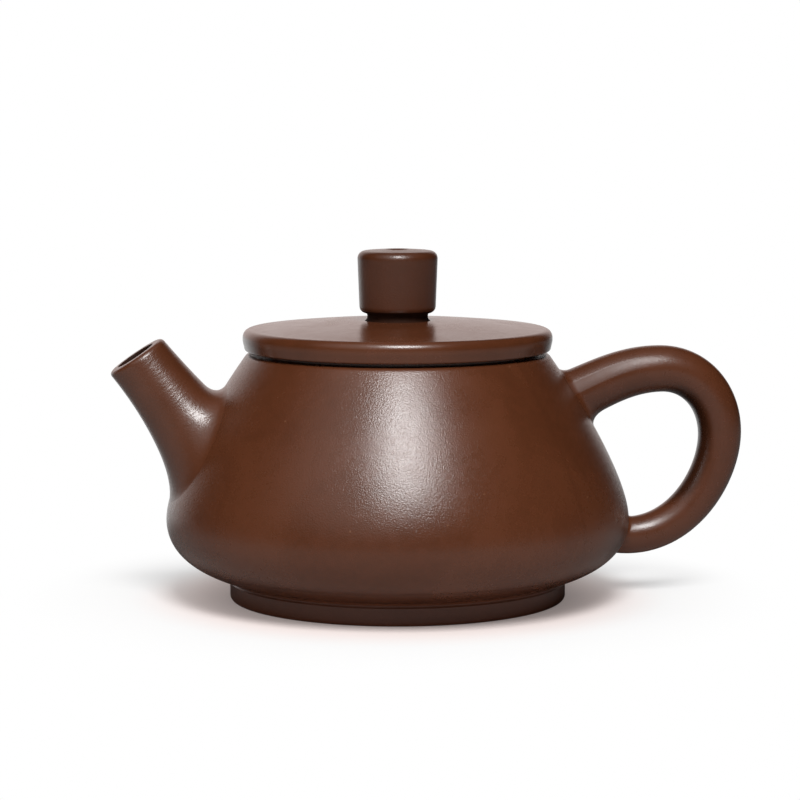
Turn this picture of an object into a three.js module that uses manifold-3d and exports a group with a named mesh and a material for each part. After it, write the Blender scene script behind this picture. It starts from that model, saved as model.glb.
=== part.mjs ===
import * as THREE from 'three';
import { mergeVertices } from 'three/addons/utils/BufferGeometryUtils.js';
import Module from 'manifold-3d';

const wasm = await Module();
wasm.setup();

// Unglazed clay teapot, slab built: a base disc on a foot ring, a beaten wall, a shoulder ring with a
// flat rim, a spout over a strained hole, a loop handle, and a low domed lid with a flange, neck and knob.
// Lengths are millimetres. While it is modelled, the pot's axis is X = Y = 0 and the table is Z = 0,
// with the spout towards -X and the handle towards +X.

// Joints between pieces
const CLAY_GAP = 0.3;
const THIN_EDGE = 0.25;
const CLAY_COLOUR = 0x5f3b2d;

// Body
const FOOT_HEIGHT = 5.0;
const FOOT_R = 37.1;
const FOOT_WIDTH = 4.4;
const FOOT_ROUND = 0.9;
const GROOVE_Z = 4.2;
const GROOVE_DEPTH = 0.3;
const UNDERSIDE_OVERHANG = 0.5;
const UNDERSIDE_RISE = 15;
const BASE_THICKNESS = 3.4;
const BELLY_R = 51.05;
const BELLY_Z = 17.9;
// How far the outline's curves keep their heading, as shares of each curve's span
const UNDERSIDE_EASE = 0.46;
const BELLY_EASE_DOWN = 0.35;
const BELLY_EASE_UP = 0.19;
const RIM_EASE = 0.37;
const WALL = 2.6;
const RIM_R = 33.15;
const RIM_Z = 54.2;
const RIM_LEAN = 35.4;
const RIM_ROUND = 0.6;
const RIM_WIDTH = 5.15;
const SHOULDER_THICKNESS = 3.2;

// Lid
const LID_OVERHANG = 0.9;
const LID_THICKNESS = 5.5;
const LID_TOP_ROUND = 1.6;
const LID_CROWN = 1.75;
const CROWN_EASE = 0.38;
const LID_UNDER_TUCK = 1.2;
const LID_UNDER_RISE = 2.5;
const FLANGE_CLEARANCE = 0.35;
const FLANGE_DEPTH = 6.5;
const FLANGE_THICKNESS = 2.2;
const NECK_R = 6.65;
const NECK_FLARE = 0.55;
const NECK_HEIGHT = 1.75;
const KNOB_TOP_R = 8.8;
const KNOB_FOOT_R = 8.4;
const KNOB_HEIGHT = 13.9;
const KNOB_ROUND = 1.6;
const KNOB_CROWN = 0.45;
const KNOB_CHAMFER = 1.05;
const VENT_R = 1.1;
const VENT_DISH_WIDTH = 2.2;
const VENT_DISH_DEPTH = 1.5;

// Spout: its centreline in the XZ plane. Its root is inside the wall, and its bend and tip are out and
// up from the root. The centreline starts a lead beyond the tip. Then its outer radius.
const SPOUT_ROOT = { belowRim: 20.7, depth: 3.78 };
const SPOUT_BEND = { out: 8.4, up: 12.2 };
const SPOUT_TIP = { out: 15.5, up: 20.8 };
const SPOUT_LEAD = 2;
const SPOUT_TIP_R = 6.85;
const SPOUT_ROOT_R = 10.2;
const SPOUT_SWELL = 2.2;
const SPOUT_WALL = 2.8;
const SPOUT_MOUTH_SLOPE = 33.7;
const LIP_ROUND = 1.3;
const BORE_ROUND = 0.5;
// How much wider than high the spout grows on its way to the root, on each side
const SPOUT_WIDENING = 4.2;
const SPOUT_WIDENING_EASE = 0.85;
const BROAD_EASE = 0.5;
const SPOUT_FLARE_BELOW = { tube: 9, wall: 6 };
const SPOUT_FLARE_ASIDE = { tube: 7, wall: 3 };
const SPOUT_FLARE_ABOVE = { tube: 4.2, wall: 3.8 };

// Strainer over the hole behind the spout
const HOLE_R = 6.2;
const STRAINER_HEIGHT = 6.5;
const STRAINER_WALL = 1.6;
const STRAINER_HOLE_R = 0.9;
// Rings of strainer holes: their lean away from the dome's axis in degrees, and how many
const STRAINER_HOLES = [{ lean: 0, count: 1 }, { lean: 32, count: 6 }, { lean: 58, count: 10 }];

// Handle: its centreline in the XZ plane, from an upper root through a top and a furthest point to a
// lower root. The roots are inside the wall, and the other two are out from the belly's radius. At each
// point the curve keeps its heading for an ease. Then its radius along the way.
const HANDLE_UPPER = { belowRim: 10.35, depth: 1.56, slope: 24.8, ease: 7.6 };
const HANDLE_TOP = { belowRim: 4.0, out: 7.75, easeIn: 7.8, easeOut: 8.0 };
const HANDLE_FAR = { belowRim: 18.7, out: 21.2, easeIn: 8.1, easeOut: 10.1 };
const HANDLE_LOWER = { belowBelly: 4.7, depth: 1.95, slope: -9.7, ease: 15.3 };
const HANDLE_RADII = [5.95, 5.2, 4.85, 4.45, 4.1];
const HANDLE_FLARE = { tube: 3, wall: 2 };
// Under the upper root the blend is wider
const HANDLE_FLARE_UNDER = { tube: 4.2, wall: 2.6 };
// Shares of the centreline's length at which the handle is well clear of the wall
const HANDLE_CLEAR = { upper: 0.3, lower: 0.7 };

// Fineness of the round pieces
const BODY_SIDES = 56;
const KNOB_SIDES = 36;
const SPOUT_SIDES = 28;
const HANDLE_SIDES = 20;
const STRAINER_SIDES = 24;
const DRILL_SIDES = 24;
const SMALL_DRILL_SIDES = 8;
const HANDLE_STEPS = 28;

// Sizes that follow from the ones above
const UNDERSIDE_R = FOOT_R + UNDERSIDE_OVERHANG;
const BASE_TOP = FOOT_HEIGHT + BASE_THICKNESS;
const SHOULDER_Z = RIM_Z - SHOULDER_THICKNESS;
const MOUTH_R = RIM_R - RIM_WIDTH;
const STRAINER_R = HOLE_R + STRAINER_WALL;
const LID_R = RIM_R + LID_OVERHANG;
const LID_TOP = RIM_Z + LID_THICKNESS;
const LID_CROWN_Z = LID_TOP + LID_CROWN;
const KNOB_Z = LID_CROWN_Z + NECK_HEIGHT;
const VENT_DISH_R = VENT_R + VENT_DISH_WIDTH;

const Y_AXIS = new THREE.Vector3(0, 1, 0);

const at = (x, z) => new THREE.Vector3(x, 0, z);
const flat = (r, z) => new THREE.Vector2(r, z);
const heading = (degrees) => {
  const angle = THREE.MathUtils.degToRad(degrees);
  return flat(Math.cos(angle), Math.sin(angle));
};

// A quarter round from one profile point to another, bulging towards the corner
function rounded(from, corner, to, steps) {
  return new THREE.QuadraticBezierCurve(from, corner, to).getPoints(steps);
}

// The body's outline, from the foot ring to the rim, as distance from the axis and height
function bodyOutline() {
  const start = flat(UNDERSIDE_R, FOOT_HEIGHT);
  const belly = flat(BELLY_R, BELLY_Z);
  const rim = flat(RIM_R, RIM_Z);
  const low = start.distanceTo(belly);
  const high = belly.distanceTo(rim);
  const underside = new THREE.CubicBezierCurve(
    start,
    start.clone().addScaledVector(heading(UNDERSIDE_RISE), UNDERSIDE_EASE * low),
    flat(BELLY_R, BELLY_Z - BELLY_EASE_DOWN * low),
    belly,
  );
  const side = new THREE.CubicBezierCurve(
    belly,
    flat(BELLY_R, BELLY_Z + BELLY_EASE_UP * high),
    rim.clone().addScaledVector(heading(RIM_LEAN - 90), RIM_EASE * high),
    rim,
  );
  return [...underside.getPoints(9), ...side.getPoints(12).slice(1)];
}

// The outline moved inwards by the thickness of the wall
function offsetOutline(points, distance) {
  return points.map((point, i) => {
    const before = points[Math.max(i - 1, 0)];
    const after = points[Math.min(i + 1, points.length - 1)];
    const along = after.clone().sub(before).normalize();
    return flat(point.x - along.y * distance, point.y + along.x * distance);
  });
}

function radiusAt(outline, z) {
  const i = outline.findIndex((point, k) => k > 0 && point.y >= z);
  const [low, high] = [outline[i - 1], outline[i]];
  return THREE.MathUtils.mapLinear(z, low.y, high.y, low.x, high.x);
}

// The stretch of an outline between two heights, from the bottom up
function stretch(outline, low, high) {
  const inside = outline.filter((point) => point.y > low + 0.05 && point.y < high - 0.05);
  return [flat(radiusAt(outline, low), low), ...inside, flat(radiusAt(outline, high), high)];
}

// The outline's nearest point to (r, z), its outward normal, and the signed distance to it
function nearest(outline, r, z) {
  let best = { gap: Infinity };
  for (let i = 1; i < outline.length; i += 1) {
    const [a, b] = [outline[i - 1], outline[i]];
    const along = b.clone().sub(a);
    const share = ((r - a.x) * along.x + (z - a.y) * along.y) / along.lengthSq();
    const point = a.clone().addScaledVector(along, THREE.MathUtils.clamp(share, 0, 1));
    const gap = Math.hypot(r - point.x, z - point.y);
    if (gap < Math.abs(best.gap)) {
      const normal = flat(along.y, -along.x).normalize();
      const sign = (r - point.x) * normal.x + (z - point.y) * normal.y < 0 ? -1 : 1;
      best = { point, normal, gap: gap * sign };
    }
  }
  return best;
}

const clearance = (outline, p) => nearest(outline, Math.hypot(p.x, p.y), p.z).gap;

// A point moved square to the round wall until it stands at a given height over it
function seatOn(outline, p, height) {
  const r = Math.hypot(p.x, p.y);
  const { point, normal } = nearest(outline, r, p.z);
  const reach = point.x + normal.x * height;
  return new THREE.Vector3((p.x / r) * reach, (p.y / r) * reach, point.y + normal.y * height);
}

function wallNormal(outline, p) {
  const r = Math.hypot(p.x, p.y);
  const { normal } = nearest(outline, r, p.z);
  return new THREE.Vector3((p.x / r) * normal.x, (p.y / r) * normal.x, normal.y);
}

// A closed profile turned about the Z axis
function turned(profile, sides) {
  const closed = [...profile, profile[0]];
  return new THREE.LatheGeometry(closed, sides).rotateX(Math.PI / 2);
}

// A solid from strips of points, one strip for each angle round it. A looped strip comes back to its
// first point; the others all share their first and last points.
function stripSolid(strips, looped) {
  const rows = strips[0].length;
  const position = strips.flat().flatMap((p) => [p.x, p.y, p.z]);
  const index = [];
  strips.forEach((strip, k) => {
    const here = k * rows;
    const next = ((k + 1) % strips.length) * rows;
    for (let j = 0; j < rows - (looped ? 0 : 1); j += 1) {
      const above = (j + 1) % rows;
      if (looped || j > 0) index.push(here + j, next + j, next + above);
      if (looped || j < rows - 2) index.push(here + j, next + above, here + above);
    }
  });
  const geometry = new THREE.BufferGeometry();
  geometry.setAttribute('position', new THREE.Float32BufferAttribute(position, 3));
  geometry.setIndex(index);
  return geometry;
}

function toSolid(geometry) {
  const bare = geometry.clone();
  bare.deleteAttribute('normal');
  bare.deleteAttribute('uv');
  const merged = mergeVertices(bare);
  return new wasm.Manifold(new wasm.Mesh({
    numProp: 3,
    vertProperties: new Float32Array(merged.attributes.position.array),
    triVerts: new Uint32Array(merged.index.array),
  }));
}

function cut(geometry, cutters) {
  let solid = toSolid(geometry);
  for (const cutter of cutters) solid = solid.subtract(toSolid(cutter));
  const mesh = solid.getMesh();
  const result = new THREE.BufferGeometry();
  result.setAttribute('position', new THREE.BufferAttribute(mesh.vertProperties, 3));
  result.setIndex(new THREE.BufferAttribute(mesh.triVerts, 1));
  return result;
}

// A straight drill of a given radius from one point along a direction
function drill(from, direction, radius, length, sides) {
  const turn = new THREE.Quaternion().setFromUnitVectors(Y_AXIS, direction);
  const centre = from.clone().addScaledVector(direction, length / 2);
  return new THREE.CylinderGeometry(radius, radius, length, sides)
    .applyQuaternion(turn)
    .translate(centre.x, centre.y, centre.z);
}

// Direction from a tube's centreline to its skin. Angle 0 is the side that Y x tangent points to.
function spoke(tangent, angle) {
  const normal = new THREE.Vector3().crossVectors(Y_AXIS, tangent);
  return normal.multiplyScalar(Math.cos(angle)).addScaledVector(Y_AXIS, Math.sin(angle));
}

// A step from -1 to 1 with a soft middle
const broad = (side) => side * Math.sqrt((1 + BROAD_EASE ** 2) / (side ** 2 + BROAD_EASE ** 2));

// A point on a tube's skin, which may be widened sideways, or on a round bore inside it
function tubePoint(tube, t, angle, inset = 0) {
  const direction = spoke(tube.curve.getTangent(t), angle);
  const point = tube.curve.getPoint(t).addScaledVector(direction, tube.radius(t) - inset);
  if (inset === 0) point.y += tube.widening(t) * broad(Math.sin(angle));
  return point;
}

// The t between two ends at which a measure changes sign
function crossing(measure, outside, inside) {
  let [out, within] = [outside, inside];
  for (let i = 0; i < 40; i += 1) {
    const middle = (out + within) / 2;
    if (measure(middle) > 0) out = middle;
    else within = middle;
  }
  return (out + within) / 2;
}

// Where a tube runs into the wall: its flared skin from the tube to a thin toe on the wall, and the
// same toe at the joint gap. "outside" and "inside" are values of t on either side of the wall.
function flaredRoot(tube, angle, outside, inside, flare, steps) {
  const edge = CLAY_GAP + THIN_EDGE;
  const t = crossing((s) => clearance(outline, tubePoint(tube, s, angle)) - edge, outside, inside);
  const corner = tubePoint(tube, t, angle);
  const back = (Math.sign(outside - inside) * flare.tube) / tube.length;
  const normal = wallNormal(outline, corner);
  const away = spoke(tube.curve.getTangent(t), angle);
  away.addScaledVector(normal, -away.dot(normal)).normalize();
  const toe = seatOn(outline, corner.clone().addScaledVector(away, flare.wall), edge);
  const heel = tubePoint(tube, t + back, angle);
  return {
    start: t + back,
    skin: new THREE.QuadraticBezierCurve3(heel, corner, toe).getPoints(steps),
    seat: seatOn(outline, toe, CLAY_GAP),
  };
}

// Points on the wall at the joint gap, from one seated point towards another
function alongWall(from, to, shares) {
  return shares.map((share) => seatOn(outline, from.clone().lerp(to, share), CLAY_GAP));
}

const outline = bodyOutline();
const innerOutline = offsetOutline(outline, WALL);

function footRing() {
  const inner = FOOT_R - FOOT_WIDTH;
  return turned([
    flat(inner + FOOT_ROUND, 0),
    ...rounded(flat(FOOT_R - FOOT_ROUND, 0), flat(FOOT_R, 0), flat(FOOT_R, FOOT_ROUND), 3),
    flat(FOOT_R, GROOVE_Z - GROOVE_DEPTH / 2),
    flat(FOOT_R - GROOVE_DEPTH, GROOVE_Z),
    flat(FOOT_R - GROOVE_DEPTH / 2, GROOVE_Z + GROOVE_DEPTH),
    flat(UNDERSIDE_R, FOOT_HEIGHT),
    flat(inner - FOOT_ROUND / 2, FOOT_HEIGHT),
    flat(inner, FOOT_ROUND),
  ], BODY_SIDES);
}

function baseDisc() {
  const profile = [flat(0, FOOT_HEIGHT), ...stretch(outline, FOOT_HEIGHT, BASE_TOP), flat(0, BASE_TOP)];
  return new THREE.LatheGeometry(profile, BODY_SIDES).rotateX(Math.PI / 2);
}

function bodyWall() {
  const outer = stretch(outline, BASE_TOP, SHOULDER_Z);
  const inner = stretch(innerOutline, BASE_TOP, SHOULDER_Z).reverse();
  const root = spoutRootCentre();
  const outwards = wallNormal(outline, root);
  const start = root.clone().addScaledVector(outwards, -2 * WALL);
  const hole = drill(start, outwards, HOLE_R, 4 * WALL, DRILL_SIDES);
  return cut(turned([...outer, ...inner], BODY_SIDES), [hole]);
}

function shoulderRing() {
  const outer = stretch(outline, SHOULDER_Z, RIM_Z - RIM_ROUND);
  const rim = flat(RIM_R, RIM_Z);
  return turned([
    flat(MOUTH_R + RIM_ROUND / 2, SHOULDER_Z),
    ...outer.slice(0, -1),
    ...rounded(outer.at(-1), rim, flat(RIM_R - RIM_ROUND, RIM_Z), 3),
    flat(MOUTH_R + RIM_ROUND / 2, RIM_Z),
    flat(MOUTH_R, RIM_Z - RIM_ROUND / 2),
    flat(MOUTH_R, SHOULDER_Z + RIM_ROUND / 2),
  ], BODY_SIDES);
}

const spoutRootZ = RIM_Z - SPOUT_ROOT.belowRim;
const spoutRoot = at(SPOUT_ROOT.depth - radiusAt(outline, spoutRootZ), spoutRootZ);
const spoutTip = at(spoutRoot.x - SPOUT_TIP.out, spoutRoot.z + SPOUT_TIP.up);

const spoutCurve = (() => {
  const bend = at(spoutRoot.x - SPOUT_BEND.out, spoutRoot.z + SPOUT_BEND.up);
  const lead = spoutTip.clone().sub(bend).setLength(SPOUT_LEAD);
  return new THREE.QuadraticBezierCurve3(spoutTip.clone().add(lead), bend, spoutRoot);
})();

const spoutTube = {
  curve: spoutCurve,
  length: spoutCurve.getLength(),
  radius: (t) => SPOUT_TIP_R + (SPOUT_ROOT_R - SPOUT_TIP_R) * t ** SPOUT_SWELL,
  widening: (t) => SPOUT_WIDENING * t ** SPOUT_WIDENING_EASE,
};

function spoutRootCentre() {
  const t = crossing((s) => clearance(outline, spoutCurve.getPoint(s)), 0, 1);
  return spoutCurve.getPoint(t);
}

// One strip of the spout: lip, skin, flared root, its seat on the wall, and back up the bore
function spoutStrip(angle) {
  const tilt = THREE.MathUtils.degToRad(SPOUT_MOUTH_SLOPE);
  const mouth = at(-Math.sin(tilt), Math.cos(tilt));
  const beyond = (inset) => (s) => tubePoint(spoutTube, s, angle, inset).sub(spoutTip).dot(mouth);
  const lip = (inset, round, inwards) => {
    const t = crossing(beyond(inset), 0, 0.5);
    const corner = tubePoint(spoutTube, t, angle, inset);
    const centre = spoutTip.clone().sub(corner).setLength(inwards * round);
    const below = tubePoint(spoutTube, t + round / spoutTube.length, angle, inset);
    return { t: t + round / spoutTube.length, points: [corner.clone().add(centre), corner, below] };
  };
  const outer = lip(0, LIP_ROUND, 1);
  const inner = lip(SPOUT_WALL, BORE_ROUND, -1);
  const upright = Math.cos(angle) > 0 ? SPOUT_FLARE_BELOW : SPOUT_FLARE_ABOVE;
  const aside = Math.sin(angle) ** 2;
  const flare = {
    tube: THREE.MathUtils.lerp(upright.tube, SPOUT_FLARE_ASIDE.tube, aside),
    wall: THREE.MathUtils.lerp(upright.wall, SPOUT_FLARE_ASIDE.wall, aside),
  };
  const root = flaredRoot(spoutTube, angle, 0, 1, flare, 6);
  const boreGap = (s) => clearance(outline, tubePoint(spoutTube, s, angle, SPOUT_WALL)) - CLAY_GAP;
  const boreEnd = crossing(boreGap, 0, 1);
  const boreRoot = tubePoint(spoutTube, boreEnd, angle, SPOUT_WALL);
  const between = (from, to, shares, inset) => shares.map(
    (share) => tubePoint(spoutTube, THREE.MathUtils.lerp(from, to, share), angle, inset),
  );
  return [
    ...new THREE.QuadraticBezierCurve3(...outer.points).getPoints(3),
    ...between(outer.t, root.start, [0.33, 0.67], 0),
    ...root.skin,
    root.seat,
    ...alongWall(root.seat, boreRoot, [0.33, 0.67]),
    boreRoot,
    ...between(boreEnd, inner.t, [0.25, 0.5, 0.75], SPOUT_WALL),
    ...new THREE.QuadraticBezierCurve3(...inner.points).getPoints(2).reverse(),
  ];
}

function angles(count) {
  return Array.from({ length: count }, (_, i) => (i / count) * 2 * Math.PI);
}

const spout = () => stripSolid(angles(SPOUT_SIDES).map(spoutStrip), true);

// A perforated dome, square to the wall, over the inner end of the hole
function ballStrainer() {
  const root = spoutRootCentre();
  const inwards = wallNormal(outline, root).negate();
  const middle = seatOn(innerOutline, root, -CLAY_GAP);
  const arc = (radius, height, angle, steps) => steps.map((share) => {
    const rise = share * Math.PI / 2;
    const foot = middle.clone().addScaledVector(spoke(inwards, angle), radius);
    const seated = seatOn(innerOutline, foot, -CLAY_GAP).sub(middle);
    const raised = middle.clone().addScaledVector(inwards, Math.sin(rise) * height);
    return raised.addScaledVector(seated, Math.cos(rise));
  });
  const shares = [0, 0.2, 0.4, 0.6, 0.8, 1];
  const strips = angles(STRAINER_SIDES).map((angle) => [
    ...arc(STRAINER_R - STRAINER_WALL, STRAINER_HEIGHT - STRAINER_WALL, angle, shares).reverse(),
    ...arc(STRAINER_R, STRAINER_HEIGHT, angle, shares),
  ]);
  const drills = STRAINER_HOLES.flatMap(({ lean, count }) => angles(count).map((angle) => {
    const tilt = THREE.MathUtils.degToRad(lean);
    const direction = inwards.clone().multiplyScalar(Math.cos(tilt));
    direction.addScaledVector(spoke(inwards, angle), Math.sin(tilt));
    return drill(middle, direction, STRAINER_HOLE_R, 2 * STRAINER_R, SMALL_DRILL_SIDES);
  }));
  return cut(stripSolid(strips, false), drills);
}

const handleCurve = (() => {
  const upperZ = RIM_Z - HANDLE_UPPER.belowRim;
  const lowerZ = BELLY_Z - HANDLE_LOWER.belowBelly;
  const upper = at(radiusAt(outline, upperZ) - HANDLE_UPPER.depth, upperZ);
  const top = at(BELLY_R + HANDLE_TOP.out, RIM_Z - HANDLE_TOP.belowRim);
  const far = at(BELLY_R + HANDLE_FAR.out, RIM_Z - HANDLE_FAR.belowRim);
  const lower = at(radiusAt(outline, lowerZ) - HANDLE_LOWER.depth, lowerZ);
  const out = heading(HANDLE_UPPER.slope).multiplyScalar(HANDLE_UPPER.ease);
  const back = heading(HANDLE_LOWER.slope).multiplyScalar(HANDLE_LOWER.ease);
  const path = new THREE.CurvePath();
  path.add(new THREE.CubicBezierCurve3(
    upper, at(upper.x + out.x, upper.z + out.y), at(top.x - HANDLE_TOP.easeIn, top.z), top,
  ));
  path.add(new THREE.CubicBezierCurve3(
    top, at(top.x + HANDLE_TOP.easeOut, top.z), at(far.x, far.z + HANDLE_FAR.easeIn), far,
  ));
  path.add(new THREE.CubicBezierCurve3(
    far, at(far.x, far.z - HANDLE_FAR.easeOut), at(lower.x + back.x, lower.z + back.y), lower,
  ));
  return path;
})();

const handleRadius = new THREE.SplineCurve(HANDLE_RADII.map((radius, i) => flat(i, radius)));

const handleTube = {
  curve: handleCurve,
  length: handleCurve.getLength(),
  radius: (t) => handleRadius.getPoint(t).y,
  widening: () => 0,
};

// One strip of the handle, from the middle of its upper seat round the loop to that of its lower seat
function handleStrip(angle) {
  const under = Math.max(Math.cos(angle), 0) ** 2;
  const upperFlare = {
    tube: THREE.MathUtils.lerp(HANDLE_FLARE.tube, HANDLE_FLARE_UNDER.tube, under),
    wall: THREE.MathUtils.lerp(HANDLE_FLARE.wall, HANDLE_FLARE_UNDER.wall, under),
  };
  const upper = flaredRoot(handleTube, angle, HANDLE_CLEAR.upper, 0, upperFlare, 4);
  const lower = flaredRoot(handleTube, angle, HANDLE_CLEAR.lower, 1, HANDLE_FLARE, 4);
  const middle = (outside, inside) => {
    const t = crossing((s) => clearance(outline, handleCurve.getPoint(s)) - CLAY_GAP, outside, inside);
    return handleCurve.getPoint(t);
  };
  const first = middle(HANDLE_CLEAR.upper, 0);
  const last = middle(HANDLE_CLEAR.lower, 1);
  const steps = Array.from({ length: HANDLE_STEPS - 1 }, (_, i) => (i + 1) / HANDLE_STEPS);
  const loop = steps.map((share) => {
    const t = THREE.MathUtils.lerp(upper.start, lower.start, share);
    return tubePoint(handleTube, t, angle);
  });
  return [
    first,
    ...alongWall(first, upper.seat, [0.5]),
    upper.seat,
    ...upper.skin.reverse(),
    ...loop,
    ...lower.skin,
    lower.seat,
    ...alongWall(lower.seat, last, [0.5]),
    last,
  ];
}

const handle = () => stripSolid(angles(HANDLE_SIDES).map(handleStrip), false);

function lidDisc() {
  const under = flat(LID_R - LID_UNDER_TUCK, RIM_Z);
  const side = flat(LID_R, RIM_Z + LID_UNDER_RISE);
  const shoulder = flat(LID_R, LID_TOP - LID_TOP_ROUND);
  const brim = flat(LID_R - LID_TOP_ROUND, LID_TOP);
  const seat = flat(NECK_R + NECK_FLARE, LID_CROWN_Z);
  const crest = flat(THREE.MathUtils.lerp(seat.x, brim.x, CROWN_EASE), LID_CROWN_Z);
  return turned([
    flat(VENT_R, RIM_Z),
    ...rounded(under, flat(LID_R - LID_UNDER_TUCK / 8, RIM_Z + LID_UNDER_RISE / 6), side, 4),
    ...rounded(shoulder, flat(LID_R, LID_TOP), brim, 4),
    ...rounded(brim, crest, seat, 6).slice(1),
    flat(VENT_R, LID_CROWN_Z),
  ], BODY_SIDES);
}

function lidFlange() {
  const outer = MOUTH_R - FLANGE_CLEARANCE;
  const inner = outer - FLANGE_THICKNESS;
  const low = RIM_Z - FLANGE_DEPTH;
  const round = FLANGE_THICKNESS / 3;
  return turned([
    flat(inner, low + round),
    flat(inner + round, low),
    flat(outer - round, low),
    flat(outer, low + round),
    flat(outer, RIM_Z),
    flat(inner, RIM_Z),
  ], BODY_SIDES);
}

function knobNeck() {
  const waist = flat(NECK_R, LID_CROWN_Z + NECK_HEIGHT / 2);
  const foot = flat(NECK_R + NECK_FLARE, LID_CROWN_Z);
  const head = flat(NECK_R + NECK_FLARE / 2, KNOB_Z);
  return turned([
    flat(VENT_R, LID_CROWN_Z),
    ...rounded(foot, flat(NECK_R, LID_CROWN_Z + NECK_HEIGHT / 6), waist, 3),
    head,
    flat(VENT_R, KNOB_Z),
  ], KNOB_SIDES);
}

function knob() {
  const top = KNOB_Z + KNOB_HEIGHT;
  const brow = top - KNOB_CROWN;
  return turned([
    flat(VENT_R, KNOB_Z),
    flat(KNOB_FOOT_R - KNOB_CHAMFER, KNOB_Z),
    ...rounded(
      flat(KNOB_FOOT_R - KNOB_CHAMFER / 4, KNOB_Z + KNOB_CHAMFER * 0.7),
      flat(KNOB_FOOT_R, KNOB_Z + KNOB_CHAMFER),
      flat(KNOB_FOOT_R, KNOB_Z + KNOB_CHAMFER * 1.4),
      2,
    ),
    ...rounded(
      flat(KNOB_TOP_R, brow - KNOB_ROUND),
      flat(KNOB_TOP_R, brow),
      flat(KNOB_TOP_R - KNOB_ROUND, brow + KNOB_CROWN / 3),
      4,
    ),
    ...rounded(flat(VENT_DISH_R, top), flat(VENT_R, top), flat(VENT_R, top - VENT_DISH_DEPTH), 3),
  ], KNOB_SIDES);
}

function piece(name, geometry) {
  const material = new THREE.MeshStandardMaterial({ color: CLAY_COLOUR, roughness: 0.45, metalness: 0 });
  const mesh = new THREE.Mesh(geometry, material);
  mesh.name = name;
  return mesh;
}

const teapot = new THREE.Group();
teapot.add(
  piece('base_disc', baseDisc()),
  piece('body_wall', bodyWall()),
  piece('shoulder_ring', shoulderRing()),
  piece('foot_ring', footRing()),
  piece('spout', spout()),
  piece('ball_strainer', ballStrainer()),
  piece('handle', handle()),
  piece('lid_disc', lidDisc()),
  piece('lid_flange', lidFlange()),
  piece('knob_neck', knobNeck()),
  piece('knob', knob()),
);

// The finished frame has its origin under the middle of the whole pot, spout and handle included
const box = new THREE.Box3().setFromObject(teapot, true);
teapot.position.x = -(box.min.x + box.max.x) / 2;

export default teapot;
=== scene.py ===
# %% [markdown]
# # A clay teapot, luted together from eleven pieces
#
# The real pot is built from slabs: a beaten wall on a base disc, a shoulder ring for a rim, a foot ring,
# a rolled spout and handle, and a lid made of a disc, a flange, a neck and a knob. Each piece here is its
# own closed mesh, made on a grid with numpy, and it stands for the solid of the same name in the packed
# frame. The frame holds the sizes, so whatever it can say is read from it and not written again.

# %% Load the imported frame
import math

import bmesh
import bpy
import numpy as np
from mathutils import Matrix, Vector


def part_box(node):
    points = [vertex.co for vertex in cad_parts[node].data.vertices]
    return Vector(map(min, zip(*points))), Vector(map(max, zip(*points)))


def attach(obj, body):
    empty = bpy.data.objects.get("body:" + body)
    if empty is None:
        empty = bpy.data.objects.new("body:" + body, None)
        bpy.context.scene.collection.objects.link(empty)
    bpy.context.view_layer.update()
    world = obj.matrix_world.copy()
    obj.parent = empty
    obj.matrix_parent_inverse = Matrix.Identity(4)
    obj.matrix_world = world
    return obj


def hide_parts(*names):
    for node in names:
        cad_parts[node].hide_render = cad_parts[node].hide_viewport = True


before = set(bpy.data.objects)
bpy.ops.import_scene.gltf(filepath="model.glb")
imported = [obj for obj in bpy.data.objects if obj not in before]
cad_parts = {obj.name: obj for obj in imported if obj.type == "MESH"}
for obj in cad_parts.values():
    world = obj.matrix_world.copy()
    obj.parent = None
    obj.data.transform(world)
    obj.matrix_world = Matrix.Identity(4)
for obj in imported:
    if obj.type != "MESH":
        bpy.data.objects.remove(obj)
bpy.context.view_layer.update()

# %% [markdown]
# ## The camera
#
# The photo was taken with a long lens from a little above the lid. A long lens could be faked with an
# orthographic camera, but then the lid and the foot would show ellipses of one flatness, and in the
# photo the foot's is rounder. So this is a true 135 mm lens at the distance that gives both. The pot is
# turned by 6 degrees, which brings the spout slightly forward.

# %% Camera
MM = 0.001
LENS = 135
SENSOR_WIDTH = 36
CAMERA_DISTANCE = 657.3 * MM
CAMERA_HEIGHT = 117.9 * MM
CAMERA_ASIDE = 0.53 * MM
CAMERA_PITCH = math.radians(6.43)
POT_TURN = math.radians(6)
CLIP = (0.01, 50)


def middle_of(node):
    """The middle of a node's box."""
    low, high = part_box(node)
    return (Vector(low) + Vector(high)) / 2


AXIS = middle_of("lid_disc").to_2d()


def make_camera():
    """A camera on a circle round the pot's own axis, looking level along +Y and then turned."""
    camera = bpy.data.objects.new("camera", bpy.data.cameras.new("camera"))
    camera.data.lens = LENS
    camera.data.sensor_width = SENSOR_WIDTH
    camera.data.clip_start, camera.data.clip_end = CLIP
    turn = Matrix.Rotation(-POT_TURN, 4, "Z")
    spot = turn @ Vector((CAMERA_ASIDE, -CAMERA_DISTANCE, CAMERA_HEIGHT))
    spot += Vector((*AXIS, 0))
    level = Matrix.Rotation(math.pi / 2 - CAMERA_PITCH, 4, "X")
    camera.matrix_world = Matrix.Translation(spot) @ turn @ level
    bpy.context.scene.collection.objects.link(camera)
    bpy.context.scene.camera = camera
    return camera


camera = make_camera()
print("camera at", [round(v, 4) for v in camera.location])

# %% [markdown]
# ## Helpers for nodes
#
# Every material below is a small graph. Adding a node, setting it and wiring it takes three lines each
# time, so one helper does all three: a value given for a socket is either a number to write there or
# another node's output to link.

# %% Node helpers
def add(tree, kind, sockets=None, **settings):
    """Adds a node. Settings are its own properties, and sockets are values or links for its inputs."""
    made = tree.nodes.new(kind)
    for name, value in settings.items():
        setattr(made, name, value)
    for name, value in (sockets or {}).items():
        if isinstance(value, bpy.types.NodeSocket):
            tree.links.new(value, made.inputs[name])
        else:
            made.inputs[name].default_value = value
    return made


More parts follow.
